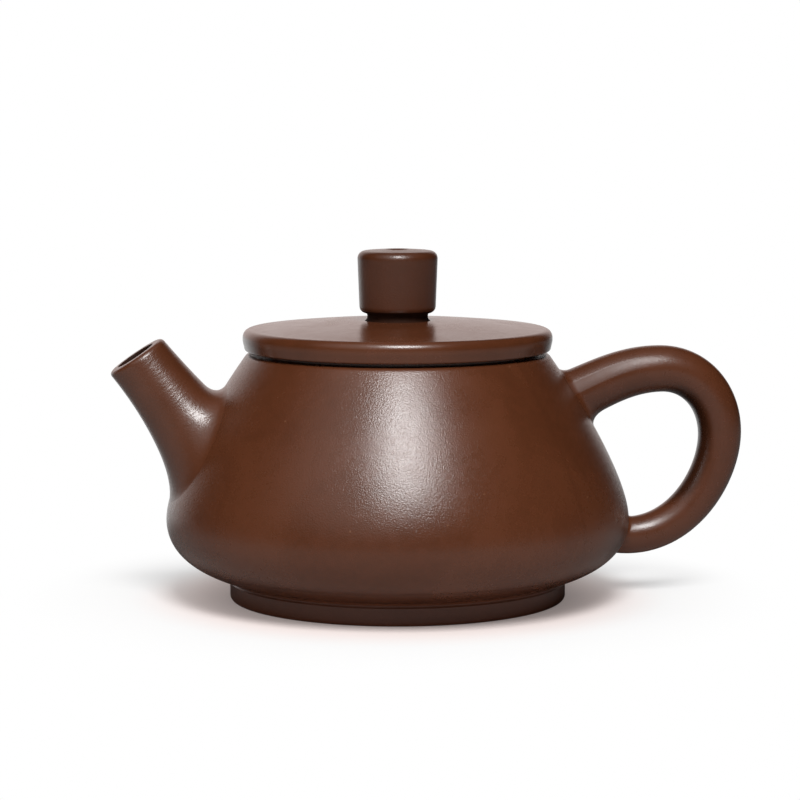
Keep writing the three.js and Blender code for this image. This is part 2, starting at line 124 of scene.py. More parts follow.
def calculate(tree, operation, a, b=0.0, c=0.0):
    """One Math node's result. The third value is the one that MULTIPLY_ADD adds."""
    return add(tree, "ShaderNodeMath", {0: a, 1: b, 2: c}, operation=operation).outputs[0]


def ramp(tree, value, low, high, to_low=0.0, to_high=1.0):
    """A value carried smoothly from one range to another, and held at its ends."""
    limits = {"Value": value, "From Min": low, "From Max": high, "To Min": to_low, "To Max": to_high}
    return add(tree, "ShaderNodeMapRange", limits, interpolation_type="SMOOTHSTEP").outputs["Result"]


def blend(tree, share, first, second):
    """Two colours mixed by a share."""
    sockets = {0: share, 6: first, 7: second}
    return add(tree, "ShaderNodeMix", sockets, data_type="RGBA", clamp_factor=True).outputs[2]


def linear(red, green, blue):
    """A colour written as 0 to 255 in sRGB, as the shader wants it: undo the display's curve."""
    share = np.array([red, green, blue]) / 255
    curved = np.where(share <= 0.04045, share / 12.92, ((share + 0.055) / 1.055) ** 2.4)
    return (*curved, 1.0)


# %% [markdown]
# ## The stage and the light
#
# The photo is a studio shot: a white sweep, one big soft light above and in front, and bright walls that
# show only where the clay is seen at a glancing angle. The white behind the pot could come from strong
# lamps on a white wall, but that light would spill on to the pot and wash its colour out. So the world
# shows plain white to the camera. To the pot it is a dark room with three soft glows: the ceiling, the
# surroundings of the lamp and, faintly red, the backdrop. That is why the lid's top shines in the photo
# while the front of the wall keeps its brown. A weak second lamp lights the left side. It isn't mirrored,
# so it leaves no highlight. The floor keeps the pot's shadow near it, but painted light lifts that shadow:
# a thin white haze, and a faint red tint that stands in for the light the clay throws back on the paper.

# %% Floor, world and lamps
WHITE = (1.0, 1.0, 1.0, 1.0)
ROOM_DARK = 0.003
ROOM_BEHIND = 0.98
BEHIND_SIDE = math.radians(-168)
BEHIND_EDGES = (46, 18)
BEHIND_TINT = (1.0, 0.88, 0.85, 1.0)
ROOM_OVERHEAD = 0.15
OVERHEAD_EDGES = (42, 8)
ROOM_ROUND_LAMP = 0.62
LAMP_GLOW_SIDE = math.radians(-20)
LAMP_GLOW_EDGES = (46, 10)
FLOOR_WIDTH = 6.0
FLOOR_SHADE = 0.92
FLOOR_SHADE_SEEN = 1.0
FLOOR_SHADE_MIRRORED = 0.28
FLOOR_KEEPS_SHADOW = 0.03
FLOOR_TURNS_WHITE = 0.088
# painted light: the share of white that lifts the floor's shadow near the pot
FLOOR_HAZE = 0.16
FLOOR_LIGHTS_UP = 1.0
# painted light: a red tint on the floor near the pot, standing in for the light that the clay throws back
FLOOR_TINTED = (0.042, 0.061)
FLOOR_TINT = (1.0, 0.89, 0.86, 1.0)
KEY_HEIGHT_ANGLE = math.radians(51)
KEY_SIDE_ANGLE = math.radians(5.5)
KEY_DISTANCE = 1.2
KEY_SIZE = (0.38, 0.50)
KEY_LEVEL = 0.89
FILL_SIDE_ANGLE = math.radians(-62)
FILL_HEIGHT_ANGLE = math.radians(28)
FILL_DISTANCE = 1.4
FILL_SIZE = (0.6, 0.6)
FILL_LEVEL = 0.08
LAMPS_AIM_HEIGHT = 30 * MM


def direction(side, height):
    """A unit vector from the pot, at an angle to the right of the camera's side and one above level."""
    around = side - POT_TURN
    level = math.cos(height)
    return Vector((math.sin(around) * level, -math.cos(around) * level, math.sin(height)))


def glow(tree, way, towards, edges, strength):
    """Light that rises with a direction's nearness to another: from nothing at the first angle between
    them, in degrees, to its full strength at the second."""
    near = add(tree, "ShaderNodeVectorMath", {0: way, 1: towards}, operation="DOT_PRODUCT")
    start, full = (math.cos(math.radians(edge)) for edge in edges)
    return ramp(tree, near.outputs["Value"], start, full, 0.0, strength)


def make_floor():
    """A plane on Z = 0. Near the pot the camera sees its light and shadow, with a thin haze of painted
    white over the shadow and a painted red tint that stands in for the clay's bounce light. Further off it
    is plain white. The pot mirrors it darker, and white only where it lies far behind. By its diffuse
    light the pot gets the white as well."""
    mesh = bpy.data.meshes.new("floor")
    half = FLOOR_WIDTH / 2
    corners = [(-half, -half, 0), (half, -half, 0), (half, half, 0), (-half, half, 0)]
    mesh.from_pydata(corners, [], [(0, 1, 2, 3)])
    floor = bpy.data.objects.new("floor", mesh)
    bpy.context.scene.collection.objects.link(floor)
    material = bpy.data.materials.new("white_sweep")
    material.use_nodes = True
    tree = material.node_tree
    tree.nodes.clear()
    place = add(tree, "ShaderNodeTexCoord").outputs["Object"]
    away = add(tree, "ShaderNodeVectorMath", {0: place, 1: (*AXIS, 0)}, operation="DISTANCE").outputs["Value"]
    # the white share: a thin haze of painted light over the shadow near the pot, plain white further off
    far = ramp(tree, away, FLOOR_KEEPS_SHADOW, FLOOR_TURNS_WHITE, FLOOR_HAZE, 1.0)
    way = add(tree, "ShaderNodeVectorMath", {0: place}, operation="NORMALIZE").outputs["Vector"]
    behind = glow(tree, way, direction(BEHIND_SIDE, 0), BEHIND_EDGES, 1.0)
    seen = add(tree, "ShaderNodeLightPath").outputs
    mirrored = calculate(tree, "MULTIPLY", seen["Is Glossy Ray"], behind)
    bounced = calculate(tree, "MULTIPLY", seen["Is Diffuse Ray"], FLOOR_LIGHTS_UP)
    shown = calculate(tree, "MAXIMUM", bounced, calculate(tree, "MAXIMUM", seen["Is Camera Ray"], mirrored))
    white_share = calculate(tree, "MULTIPLY", far, shown)
    shade = ramp(tree, seen["Is Camera Ray"], 0, 1, FLOOR_SHADE, FLOOR_SHADE_SEEN)
    darker = ramp(tree, seen["Is Glossy Ray"], 0, 1, 0, FLOOR_SHADE - FLOOR_SHADE_MIRRORED)
    # painted bounce light: the floor tinted red near the pot
    tint = blend(tree, ramp(tree, away, *FLOOR_TINTED), FLOOR_TINT, WHITE)
    level = calculate(tree, "SUBTRACT", shade, darker)
    shaded = add(tree, "ShaderNodeVectorMath", {0: tint, "Scale": level}, operation="SCALE")
    paper = add(tree, "ShaderNodeBsdfDiffuse", {"Color": shaded.outputs[0]})
    white = add(tree, "ShaderNodeEmission", {"Color": tint, "Strength": 1.0})
    mixed = add(tree, "ShaderNodeMixShader", {0: white_share, 1: paper.outputs[0], 2: white.outputs[0]})
    add(tree, "ShaderNodeOutputMaterial", {"Surface": mixed.outputs[0]})
    floor.data.materials.append(material)
    return floor


def make_world():
    """White to the camera. To the pot, a dark room that is bright behind, overhead and round the lamp."""
    world = bpy.data.worlds.new("studio")
    world.use_nodes = True
    tree = world.node_tree
    tree.nodes.clear()
    way = add(tree, "ShaderNodeTexCoord").outputs["Generated"]
    behind = glow(tree, way, direction(BEHIND_SIDE, 0), BEHIND_EDGES, ROOM_BEHIND)
    overhead = glow(tree, way, (0, 0, 1), OVERHEAD_EDGES, ROOM_OVERHEAD)
    lamp_way = direction(LAMP_GLOW_SIDE, KEY_HEIGHT_ANGLE)
    round_lamp = glow(tree, way, lamp_way, LAMP_GLOW_EDGES, ROOM_ROUND_LAMP)
    room = calculate(tree, "ADD", calculate(tree, "ADD", overhead, round_lamp), ROOM_DARK)
    seen = add(tree, "ShaderNodeLightPath").outputs["Is Camera Ray"]
    front = add(tree, "ShaderNodeBackground", {"Color": WHITE, "Strength": room})
    back = add(tree, "ShaderNodeBackground", {"Color": BEHIND_TINT, "Strength": behind})
    lit = add(tree, "ShaderNodeAddShader", {0: front.outputs[0], 1: back.outputs[0]})
    white = add(tree, "ShaderNodeBackground", {"Color": WHITE, "Strength": 1.0})
    out = add(tree, "ShaderNodeMixShader", {0: seen, 1: lit.outputs[0], 2: white.outputs[0]})
    add(tree, "ShaderNodeOutputWorld", {"Surface": out.outputs[0]})
    bpy.context.scene.world = world


def make_softbox(name, side, height, distance, size, level, mirrored=True):
    """A rectangular lamp aimed at the pot. At level 1 a card facing it renders in its written colour:
    the lamp's light on the card is power / (pi x distance squared), and that has to be pi. A lamp that
    isn't mirrored lights the clay but leaves no highlight on it."""
    lamp = bpy.data.lights.new(name, "AREA")
    lamp.shape = "RECTANGLE"
    lamp.size, lamp.size_y = size
    lamp.energy = level * math.pi ** 2 * distance ** 2
    box = bpy.data.objects.new(name, lamp)
    way = direction(side, height)
    box.location = way * distance + Vector((*AXIS, LAMPS_AIM_HEIGHT))
    box.rotation_euler = way.to_track_quat("Z", "Y").to_euler()
    box.visible_glossy = mirrored
    bpy.context.scene.collection.objects.link(box)
    return box


floor = make_floor()
make_world()
make_softbox("key_softbox", KEY_SIDE_ANGLE, KEY_HEIGHT_ANGLE, KEY_DISTANCE, KEY_SIZE, KEY_LEVEL)
make_softbox("fill_softbox", FILL_SIDE_ANGLE, FILL_HEIGHT_ANGLE, FILL_DISTANCE, FILL_SIZE, FILL_LEVEL,
             mirrored=False)
bpy.context.scene.view_settings.view_transform = "Standard"
print("floor", FLOOR_WIDTH, "m wide, softboxes", KEY_DISTANCE, "and", FILL_DISTANCE, "m away")

# %% [markdown]
# ## Helpers for shapes
#
# Nearly everything on this pot is either turned on a wheel or rolled between the hands. Both can be
# written as a grid of points: one direction runs round the piece and the other along its profile. The
# grid becomes quads, points that lie on each other are merged (which closes seams and poles), and the
# faces are turned outwards. Curves are cubic Beziers, because their two handles say in a maker's terms
# which way a profile sets off and how long it keeps that heading.

# %% Shape helpers
MERGE = 1e-7
SHARP = math.radians(38)
ARC_EASE = 0.6
FINE_SIDES = 256


def bezier(start, first, second, end, count):
    """Points (1-t)^3 start + 3(1-t)^2 t first + 3(1-t) t^2 second + t^3 end, for t from 0 to 1. The four
    may be single points or arrays of them; t runs along a new last-but-one axis."""
    t = np.linspace(0, 1, count)[:, None]
    start, first, second, end = (np.asarray(p, float)[..., None, :] for p in (start, first, second, end))
    back = 1 - t
    return back ** 3 * start + 3 * back ** 2 * t * first + 3 * back * t ** 2 * second + t ** 3 * end


def rounded(start, corner, end, count=9):
    """A rounded corner: a Bezier whose handles reach a share of the way to the corner, near a true arc."""
    start, corner, end = (np.asarray(p, float) for p in (start, corner, end))
    first, second = (point + ARC_EASE * (corner - point) for point in (start, end))
    return bezier(start, first, second, end, count)


def heading(degrees):
    """The unit vector at an angle above the radius, in (radius, height)."""
    return np.array([math.cos(math.radians(degrees)), math.sin(math.radians(degrees))])


def profile(*stretches):
    """Stretches of (radius, height) points joined into one profile, without repeated points."""
    points = np.vstack([np.atleast_2d(s) for s in stretches])
    keep = np.ones(len(points), bool)
    keep[1:] = np.linalg.norm(np.diff(points, axis=0), axis=1) > MERGE
    return points[keep]


def densified(points, step):
    """The same profile with no stretch longer than a step."""
    pieces = [np.atleast_2d(points[0])]
    for a, b in zip(points[:-1], points[1:]):
        count = max(1, math.ceil(np.linalg.norm(b - a) / step))
        pieces.append(a + (b - a) * (np.arange(1, count + 1)[:, None] / count))
    return np.vstack(pieces)


def grid_piece(name, points, looped):
    """A mesh from points[i, j]: i goes round the piece, and j along its profile, which may be a loop.
    Quads join each point to its neighbours, doubles are merged and faces turned outwards."""
    around, along = points.shape[:2]
    i = np.arange(around)[:, None]
    j = np.arange(along if looped else along - 1)[None, :]
    here, there = i * along, (i + 1) % around * along
    up = (j + 1) % along
    quads = np.stack([here + j, there + j, there + up, here + up], axis=-1).reshape(-1, 4)
    mesh = bpy.data.meshes.new(name)
    mesh.from_pydata(points.reshape(-1, 3).tolist(), [], quads.tolist())
    form = bmesh.new()
    form.from_mesh(mesh)
    bmesh.ops.remove_doubles(form, verts=form.verts, dist=MERGE)
    bmesh.ops.dissolve_degenerate(form, edges=form.edges, dist=MERGE)
    bmesh.ops.recalc_face_normals(form, faces=form.faces)
    form.to_mesh(mesh)
    form.free()
    mesh.shade_smooth()
    mesh.set_sharp_from_angle(angle=SHARP)
    piece = bpy.data.objects.new(name, mesh)
    bpy.context.scene.collection.objects.link(piece)
    return piece


def turned(name, outline, sides=192, looped=True):
    """A profile (r, z) turned about the pot's axis: the point at angle a is (r cos a, r sin a, z)."""
    a = np.arange(sides)[:, None] / sides * 2 * math.pi
    r, z = outline[None, :, 0], outline[None, :, 1]
    points = np.stack([AXIS.x + r * np.cos(a), AXIS.y + r * np.sin(a), z + 0 * a], axis=-1)
    piece = grid_piece(name, points, looped)
    print(name, len(piece.data.polygons), "faces")
    return piece


# %% [markdown]
# ## The outline of the body
#
# On the real pot the wall is a clay strip beaten round a wheel, so it has one outline all round. It
# leaves the foot at a shallow slope, turns up through a low belly, and leans in almost straight to the
# rim. A table of measured radii would give small ripples in the highlight. Two Beziers that share an
# upright tangent at the belly give a clean reflection.

# %% The body's outline
RIM_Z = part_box("lid_disc")[0][2]
SHOULDER_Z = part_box("body_wall")[1][2]
BASE_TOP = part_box("base_disc")[1][2]
FOOT_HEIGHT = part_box("base_disc")[0][2]
BELLY_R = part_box("body_wall")[1][1]
UNDERSIDE_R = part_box("foot_ring")[1][1]
BELLY_Z = 17.9 * MM
RIM_R = 33.15 * MM
WALL = 2.6 * MM
UNDERSIDE_RISE = 15
RIM_LEAN = 35.4
UNDERSIDE_EASE = 0.46
BELLY_EASE_DOWN = 0.35
BELLY_EASE_UP = 0.19
RIM_EASE = 0.37
OUTLINE_STEPS = 600


def body_outline():
    """From the foot to the rim, as (radius, height): two Beziers that meet upright at the belly."""
    start = np.array([UNDERSIDE_R, FOOT_HEIGHT])
    belly = np.array([BELLY_R, BELLY_Z])
    rim = np.array([RIM_R, RIM_Z])
    upright = np.array([0, 1])
    low = np.linalg.norm(belly - start)
    high = np.linalg.norm(rim - belly)
    set_off = start + heading(UNDERSIDE_RISE) * UNDERSIDE_EASE * low
    into_belly = belly - upright * BELLY_EASE_DOWN * low
    out_of_belly = belly + upright * BELLY_EASE_UP * high
    into_rim = rim + heading(RIM_LEAN - 90) * RIM_EASE * high
    underside = bezier(start, set_off, into_belly, belly, OUTLINE_STEPS)
    side = bezier(belly, out_of_belly, into_rim, rim, 2 * OUTLINE_STEPS)
    return np.vstack([underside, side[1:]])


def headings_of(points):
    """Unit tangents along a profile."""
    along = np.gradient(points, axis=0)
    return along / np.linalg.norm(along, axis=1, keepdims=True)


OUTLINE = body_outline()
OUTLINE_WAY = headings_of(OUTLINE)
OUTLINE_NORMAL = np.stack([OUTLINE_WAY[:, 1], -OUTLINE_WAY[:, 0]], axis=1)
INSIDE = OUTLINE - OUTLINE_NORMAL * WALL


def stretch(outline, low, high, count):
    """Points of an outline between two heights, evenly spaced along it."""
    run = np.concatenate([[0], np.cumsum(np.linalg.norm(np.diff(outline, axis=0), axis=1))])
    ends = np.interp([low, high], outline[:, 1], run)
    at = np.linspace(*ends, count)
    points = np.stack([np.interp(at, run, outline[:, k]) for k in (0, 1)], axis=1)
    points[0, 1], points[-1, 1] = low, high
    return points


print("outline", len(OUTLINE), "points, widest", round(OUTLINE[:, 0].max() / MM, 2), "mm")

# %% [markdown]
# ## Base, wall, shoulder and foot
#
# Four pieces make the body. They are luted, so no joint shows between them: each takes its stretch of
# the same outline, and their surfaces meet exactly. One mesh for the whole body would look the same
# from outside, but the pieces would be lost. The foot ring is turned, with a fine groove near its top.

# %% Body pieces
RIM_WIDTH = 5.15 * MM
RIM_ROUND = 0.7 * MM
FOOT_R = 37.1 * MM
FOOT_WIDTH = 4.4 * MM
FOOT_ROUND = 0.9 * MM
GROOVE_Z = 4.2 * MM
GROOVE_DEPTH = 0.3 * MM
MOUTH_R = RIM_R - RIM_WIDTH
FINE = 0.9 * MM


def make_base_disc():
    """A slab with the outline's lowest stretch as its edge, closed at the axis."""
    edge = stretch(OUTLINE, FOOT_HEIGHT, BASE_TOP, count=24)
    section = densified(profile([0, FOOT_HEIGHT], edge, [0, BASE_TOP]), 3 * FINE)
    return turned("pot_base", section, looped=False)


def make_wall():
    """The outline's long stretch, and the same stretch moved inwards by the wall."""
    outer = stretch(OUTLINE, BASE_TOP, SHOULDER_Z, count=110)
    inner = stretch(INSIDE, BASE_TOP, SHOULDER_Z, count=60)[::-1]
    return turned("pot_wall", profile(outer, inner), sides=FINE_SIDES)


def make_shoulder_ring():
    """The rim: the outline's last stretch, a small round, a flat land for the lid, and the mouth."""
    outer = stretch(OUTLINE, SHOULDER_Z, RIM_Z - RIM_ROUND, count=12)
    land = RIM_Z
    top = rounded(outer[-1], [RIM_R, land], [RIM_R - RIM_ROUND, land])
    mouth = rounded([MOUTH_R + RIM_ROUND, land], [MOUTH_R, land], [MOUTH_R, land - RIM_ROUND])
    foot = [[MOUTH_R, SHOULDER_Z + RIM_ROUND / 2], [MOUTH_R + RIM_ROUND / 2, SHOULDER_Z]]
    section = profile(outer, top, mouth, foot, outer[:1])
    return turned("pot_shoulder_ring", densified(section, FINE), sides=FINE_SIDES)


def make_foot_ring():
    """A ring with rounded lower edges and a groove where it meets the base."""
    inner = FOOT_R - FOOT_WIDTH
    outside = rounded([FOOT_R - FOOT_ROUND, 0], [FOOT_R, 0], [FOOT_R, FOOT_ROUND])
    groove = rounded([FOOT_R, GROOVE_Z - GROOVE_DEPTH], [FOOT_R - GROOVE_DEPTH, GROOVE_Z],
                     [FOOT_R - GROOVE_DEPTH / 2, GROOVE_Z + GROOVE_DEPTH])
    inside = rounded([inner, FOOT_ROUND], [inner, 0], [inner + FOOT_ROUND, 0])
    top = [[UNDERSIDE_R, FOOT_HEIGHT], [inner - FOOT_ROUND / 2, FOOT_HEIGHT]]
    section = profile(outside, groove, top, inside, outside[:1])
    return turned("pot_foot_ring", densified(section, FINE), sides=FINE_SIDES)


base_disc = make_base_disc()
wall = make_wall()
shoulder_ring = make_shoulder_ring()
foot_ring = make_foot_ring()

# %% [markdown]
# ## Tubes that grow out of a wall
#
# The spout and the handle are rolled tubes, pressed on to the wall, and the joint is smoothed with a
# wet finger. A straight cut of a tube against the wall would look like two pipes glued together. Here
# each line along the tube stops a little before the wall and turns on to it through a Bezier that
# leaves along the tube and lands along the wall, so the light runs over the joint without a break.
# Where the real joint has a crease, the curve lands at an angle instead. A tube can also be made wider
# than it is high, as a thumb and a finger leave it.

# %% Tube helpers
TUCK = 0.03 * MM
SUNK = 0.5 * MM
UNDER_ROOT = (0, 0.3, 0.6)
BROAD_EASE = 0.5
ROOT_EASE = 0.62
AHEAD = 1e-3


def wall_spot(points):
    """For points in space: the nearest spot on the round wall, and the wall's normal there."""
    flat = points[..., :2] - np.array(AXIS)
    r = np.linalg.norm(flat, axis=-1)
    here = np.stack([r, points[..., 2]], axis=-1).reshape(-1, 1, 2)
    nearest = np.argmin(((here - OUTLINE[None]) ** 2).sum(-1), axis=1).reshape(r.shape)
    out = flat / r[..., None]
    spot, normal = OUTLINE[nearest], OUTLINE_NORMAL[nearest]
    place = np.concatenate([out * spot[..., :1] + np.array(AXIS), spot[..., 1:]], axis=-1)
    facing = np.concatenate([out * normal[..., :1], normal[..., 1:]], axis=-1)
    return place, facing


def beyond_wall(points):
    """How far points stand out from the wall, measured level."""
    r = np.linalg.norm(points[..., :2] - np.array(AXIS), axis=-1)
    return r - np.interp(points[..., 2], OUTLINE[:, 1], OUTLINE[:, 0])


def on_wall(points, height):
    """Points moved square to the wall until they stand a given height over it."""
    place, facing = wall_spot(points)
    return place + facing * height


def broad(side):
    """A step from -1 to 1 with a soft middle: s sqrt(1 + e^2) / sqrt(s^2 + e^2)."""
    return side * math.sqrt(1 + BROAD_EASE ** 2) / np.sqrt(side ** 2 + BROAD_EASE ** 2)


class Tube:
    """A tube along a centreline in the XZ plane. t runs from 0 to 1 in step with its length, and the
    skin at angle a is centre(t) + radius(t) (cos a (Y x tangent) + sin a Y) + widening(t) broad(sin a) Y,
    where broad goes quickly from -1 to 1, so that a widened tube is two half rounds with flats between."""

    def __init__(self, centreline, radius, widening=lambda t: 0 * t):
        step = np.linalg.norm(np.diff(centreline, axis=0), axis=1)
        run = np.concatenate([[0], np.cumsum(step)])
        self.length = run[-1]
        self.share = run / run[-1]
        self.line = centreline
        self.way = headings_of(centreline)
        self.radius = radius
        self.widening = widening

    def skin(self, t, angle, inset=None):
        """Points on the skin, or on a round bore inside it. t and angle are arrays of one shape."""
        centre = np.stack([np.interp(t, self.share, self.line[:, k]) for k in (0, 1)], axis=-1)
        way = np.stack([np.interp(t, self.share, self.way[:, k]) for k in (0, 1)], axis=-1)
        bored = inset is not None
        out = self.radius(t) - (inset if bored else 0)
        wider = 0 if bored else self.widening(t) * broad(np.sin(angle))
        return np.stack([
            centre[..., 0] + out * np.cos(angle) * way[..., 1],
            AXIS.y + out * np.sin(angle) + wider,
            centre[..., 1] - out * np.cos(angle) * way[..., 0],
        ], axis=-1)


def crossing(measure, outside, inside, angles, count=1500):
    """For each angle, the t at which a measure first falls below zero on the way in."""
    t = np.linspace(outside, inside, count)[None, :].repeat(len(angles), 0)
    value = measure(t, angles[:, None] + 0 * t)
    first = np.argmax(value < 0, axis=1)
    row = np.arange(len(angles))
    before, after = value[row, first - 1], value[row, first]
    share = before / (before - after)
    return t[row, first - 1] + (t[row, first] - t[row, first - 1]) * share


def lerp(start, end, share):
    """A value between two others."""
    return start + (end - start) * share


def round_blend(angles, key, below, aside, above):
    """A length that changes round a tube: below x cos^2 a or above x cos^2 a, plus aside x sin^2 a."""
    upright = np.where(np.cos(angles) > 0, below[key], above[key])
    return upright * np.cos(angles) ** 2 + aside[key] * np.sin(angles) ** 2


def flared_root(tube, angles, outside, inside, flare, reach, crease, steps):
    """The skin from the tube on to the wall, for each angle: a Bezier from a heel on the tube to a toe
    on the wall. It leaves along the tube and lands along the wall, or at the crease's angle to it."""
    t = crossing(lambda s, a: beyond_wall(tube.skin(s, a)), outside, inside, angles)
    towards = np.sign(inside - outside)
    start = t - towards * flare / tube.length
    heel = tube.skin(start, angles)
    corner = tube.skin(t, angles)
    ahead = tube.skin(start + towards * AHEAD, angles) - heel
    ahead /= np.linalg.norm(ahead, axis=1, keepdims=True)
    _, facing = wall_spot(corner)
    middle = tube.skin(t, angles, tube.radius(t))
    away = corner - middle
    away -= facing * (away * facing).sum(1, keepdims=True)
    away /= np.linalg.norm(away, axis=1, keepdims=True)
    toe, up = wall_spot(corner + away * reach[:, None])
    back = corner - toe
    back -= up * (back * up).sum(1, keepdims=True)
    lift = up * np.linalg.norm(back, axis=1, keepdims=True) * np.tan(crease)[:, None]
    span = np.linalg.norm(corner - heel, axis=1, keepdims=True)
    end = toe - up * TUCK
    return start, bezier(heel, heel + ahead * span * ROOT_EASE, end + (back + lift) * ROOT_EASE, end, steps)


print("tube helpers ready")

# %% [markdown]
# ## The spout
#
# The spout is a tapering tube on a gently bent centreline. Its mouth is cut so that it leans back by 33.7
# degrees, and its lip is rounded. Towards its root it swells, grows wider than high, and is blended
# widely into the wall. The tube is hollow, so the mesh goes over the lip, down the skin, along the wall
# and back up the bore. The wall gets a real hole, which the next cell cuts.

# %% Spout
SPOUT_ROOT = {"below_rim": 20.7 * MM, "depth": 3.78 * MM}
SPOUT_BEND = {"out": 8.4 * MM, "up": 12.2 * MM}
SPOUT_TIP = {"out": 15.5 * MM, "up": 20.8 * MM}
SPOUT_LEAD = 2.0 * MM
SPOUT_TIP_R = 6.85 * MM
SPOUT_ROOT_R = 10.2 * MM
SPOUT_SWELL = 2.2
SPOUT_WALL = 2.8 * MM
MOUTH_SLOPE = math.radians(33.7)
LIP_ROUND = 1.0 * MM
BORE_ROUND = 0.5 * MM
SPOUT_WIDENING = 3.6 * MM
SPOUT_WIDENING_EASE = 0.85
FLARE_BELOW = {"tube": 9.0 * MM, "wall": 6.0 * MM}
FLARE_ABOVE = {"tube": 4.2 * MM, "wall": 3.8 * MM}
FLARE_ASIDE = {"tube": 10.0 * MM, "wall": 3.2 * MM}
SPOUT_SIDES = 160


def spout_points():
    """The root inside the wall, the bend and the tip, in the XZ plane."""
    root_z = RIM_Z - SPOUT_ROOT["below_rim"]
    root_x = AXIS.x + SPOUT_ROOT["depth"] - np.interp(root_z, OUTLINE[:, 1], OUTLINE[:, 0])
    root = np.array([root_x, root_z])
    bend = root + np.array([-SPOUT_BEND["out"], SPOUT_BEND["up"]])
    tip = root + np.array([-SPOUT_TIP["out"], SPOUT_TIP["up"]])
    return root, bend, tip


def spout_tube():
    """A quadratic Bezier from beyond the tip to the root, with a radius that swells towards the root:
    tip radius + (root radius - tip radius) t^swell."""
    root, bend, tip = spout_points()
    lead = tip + (tip - bend) / np.linalg.norm(tip - bend) * SPOUT_LEAD
    line = bezier(lead, lerp(lead, bend, 2 / 3), lerp(root, bend, 2 / 3), root, count=500)
    return Tube(
        line,
        radius=lambda t: lerp(SPOUT_TIP_R, SPOUT_ROOT_R, np.clip(t, 0, 1) ** SPOUT_SWELL),
        widening=lambda t: SPOUT_WIDENING * np.clip(t, 0, 1) ** SPOUT_WIDENING_EASE,
    )


def run(tube, start, end, angles, count, inset=None):
    """Points along the skin between two values of t, for each angle."""
    share = np.linspace(0, 1, count)[None, :]
    t = start[:, None] + (end - start)[:, None] * share
    return tube.skin(t, angles[:, None] + 0 * t, inset)


def make_spout(tube):
    """Over the lip, down the skin, round the flared root, under it along the wall, and up the bore."""
    _, _, tip = spout_points()
    mouth = np.array([-math.sin(MOUTH_SLOPE), 0, math.cos(MOUTH_SLOPE)])
    middle = np.array([tip[0], AXIS.y, tip[1]])
    a = np.arange(SPOUT_SIDES) / SPOUT_SIDES * 2 * math.pi

    def lip(inset, round_off, way):
        """Where the skin, or the bore, is cut by the mouth's plane: a rounded corner, and the t below it."""
        past = crossing(lambda s, b: (tube.skin(s, b, inset) - middle) @ mouth, 0, 0.5, a)
        corner = tube.skin(past, a, inset)
        to_middle = middle - corner
        to_middle *= way * round_off / np.linalg.norm(to_middle, axis=1, keepdims=True)
        below = past + round_off / tube.length
        return below, rounded(corner + to_middle, corner, tube.skin(below, a, inset), count=10)

    outer, outer_lip = lip(None, LIP_ROUND, 1)
    inner, inner_lip = lip(SPOUT_WALL, BORE_ROUND, -1)
    flare = round_blend(a, "tube", FLARE_BELOW, FLARE_ASIDE, FLARE_ABOVE)
    reach = round_blend(a, "wall", FLARE_BELOW, FLARE_ASIDE, FLARE_ABOVE)
    heel, root = flared_root(tube, a, 0, 1, flare, reach, np.zeros(len(a)), steps=30)
    skin = run(tube, outer, heel, a, count=50)
    bore_end = crossing(lambda s, b: beyond_wall(tube.skin(s, b, SPOUT_WALL)) + SUNK, 0, 1, a)
    bore = run(tube, bore_end, inner, a, count=30, inset=SPOUT_WALL)
    sunk = on_wall(root[:, -1], -SUNK)
    under = np.stack([on_wall(lerp(sunk, bore[:, 0], share), -SUNK) for share in UNDER_ROOT], axis=1)
    strips = [outer_lip, skin[:, 1:], root[:, 1:], under, bore, inner_lip[:, ::-1][:, 1:]]
    piece = grid_piece("pot_spout", np.concatenate(strips, axis=1), looped=True)
    bore_width = 2 * (SPOUT_TIP_R - SPOUT_WALL)
    print("pot_spout", len(piece.data.polygons), "faces, bore", round(bore_width / MM, 1), "mm")
    return piece


SPOUT_TUBE = spout_tube()
spout = make_spout(SPOUT_TUBE)

# %% [markdown]
# ## The hole behind the spout, and the strainer over it
#
# The potter drills the wall before the spout goes on, and sets a pierced dome inside the hole to hold
# back the leaves. Holes could be faked with dark paint, but with the lid off they are seen through.
# Each is cut with a Boolean modifier, whose result is kept as the piece's mesh.

# %% Hole and strainer
HOLE_R = 6.2 * MM
STRAINER_WALL = 1.6 * MM
STRAINER_HEIGHT = 6.5 * MM
STRAINER_HOLE_R = 0.9 * MM
STRAINER_R = HOLE_R + STRAINER_WALL
STRAINER_RINGS = ((0, 1), (32, 6), (58, 10))  # degrees from the dome's middle, and how many holes
STRAINER_SIDES = 96
STRAINER_STEPS = 24
PIN_SIDES = 20
HOLE_SIDES = 48
CLAY_GAP = 0.1 * MM


def drill(form, start, way, radius, length, sides):
    """Adds one straight drill to a bmesh: a capped cylinder from start along a direction."""
    turn = Vector(way).to_track_quat("Z", "Y").to_matrix().to_4x4()
    place = Matrix.Translation(Vector(start) + Vector(way) * length / 2) @ turn
    bmesh.ops.create_cone(form, cap_ends=True, segments=sides, radius1=radius, radius2=radius,
                          depth=length, matrix=place)


def carve(piece, drills):
    """Cuts drills, each (start, way, radius, length, sides), out of a piece and keeps the result."""
    form = bmesh.new()
    for one in drills:
        drill(form, *one)
    mesh = bpy.data.meshes.new("drills")
    form.to_mesh(mesh)
    form.free()
    cutter = bpy.data.objects.new("drills", mesh)
    bpy.context.scene.collection.objects.link(cutter)
    cut = piece.modifiers.new("holes", "BOOLEAN")
    cut.operation, cut.solver, cut.object = "DIFFERENCE", "EXACT", cutter
    drilled = bpy.data.meshes.new_from_object(piece.evaluated_get(bpy.context.evaluated_depsgraph_get()))
    piece.modifiers.clear()
    piece.data = drilled
    bpy.data.objects.remove(cutter)
    print(piece.name, "drilled", len(drills), "times,", len(drilled.polygons), "faces")


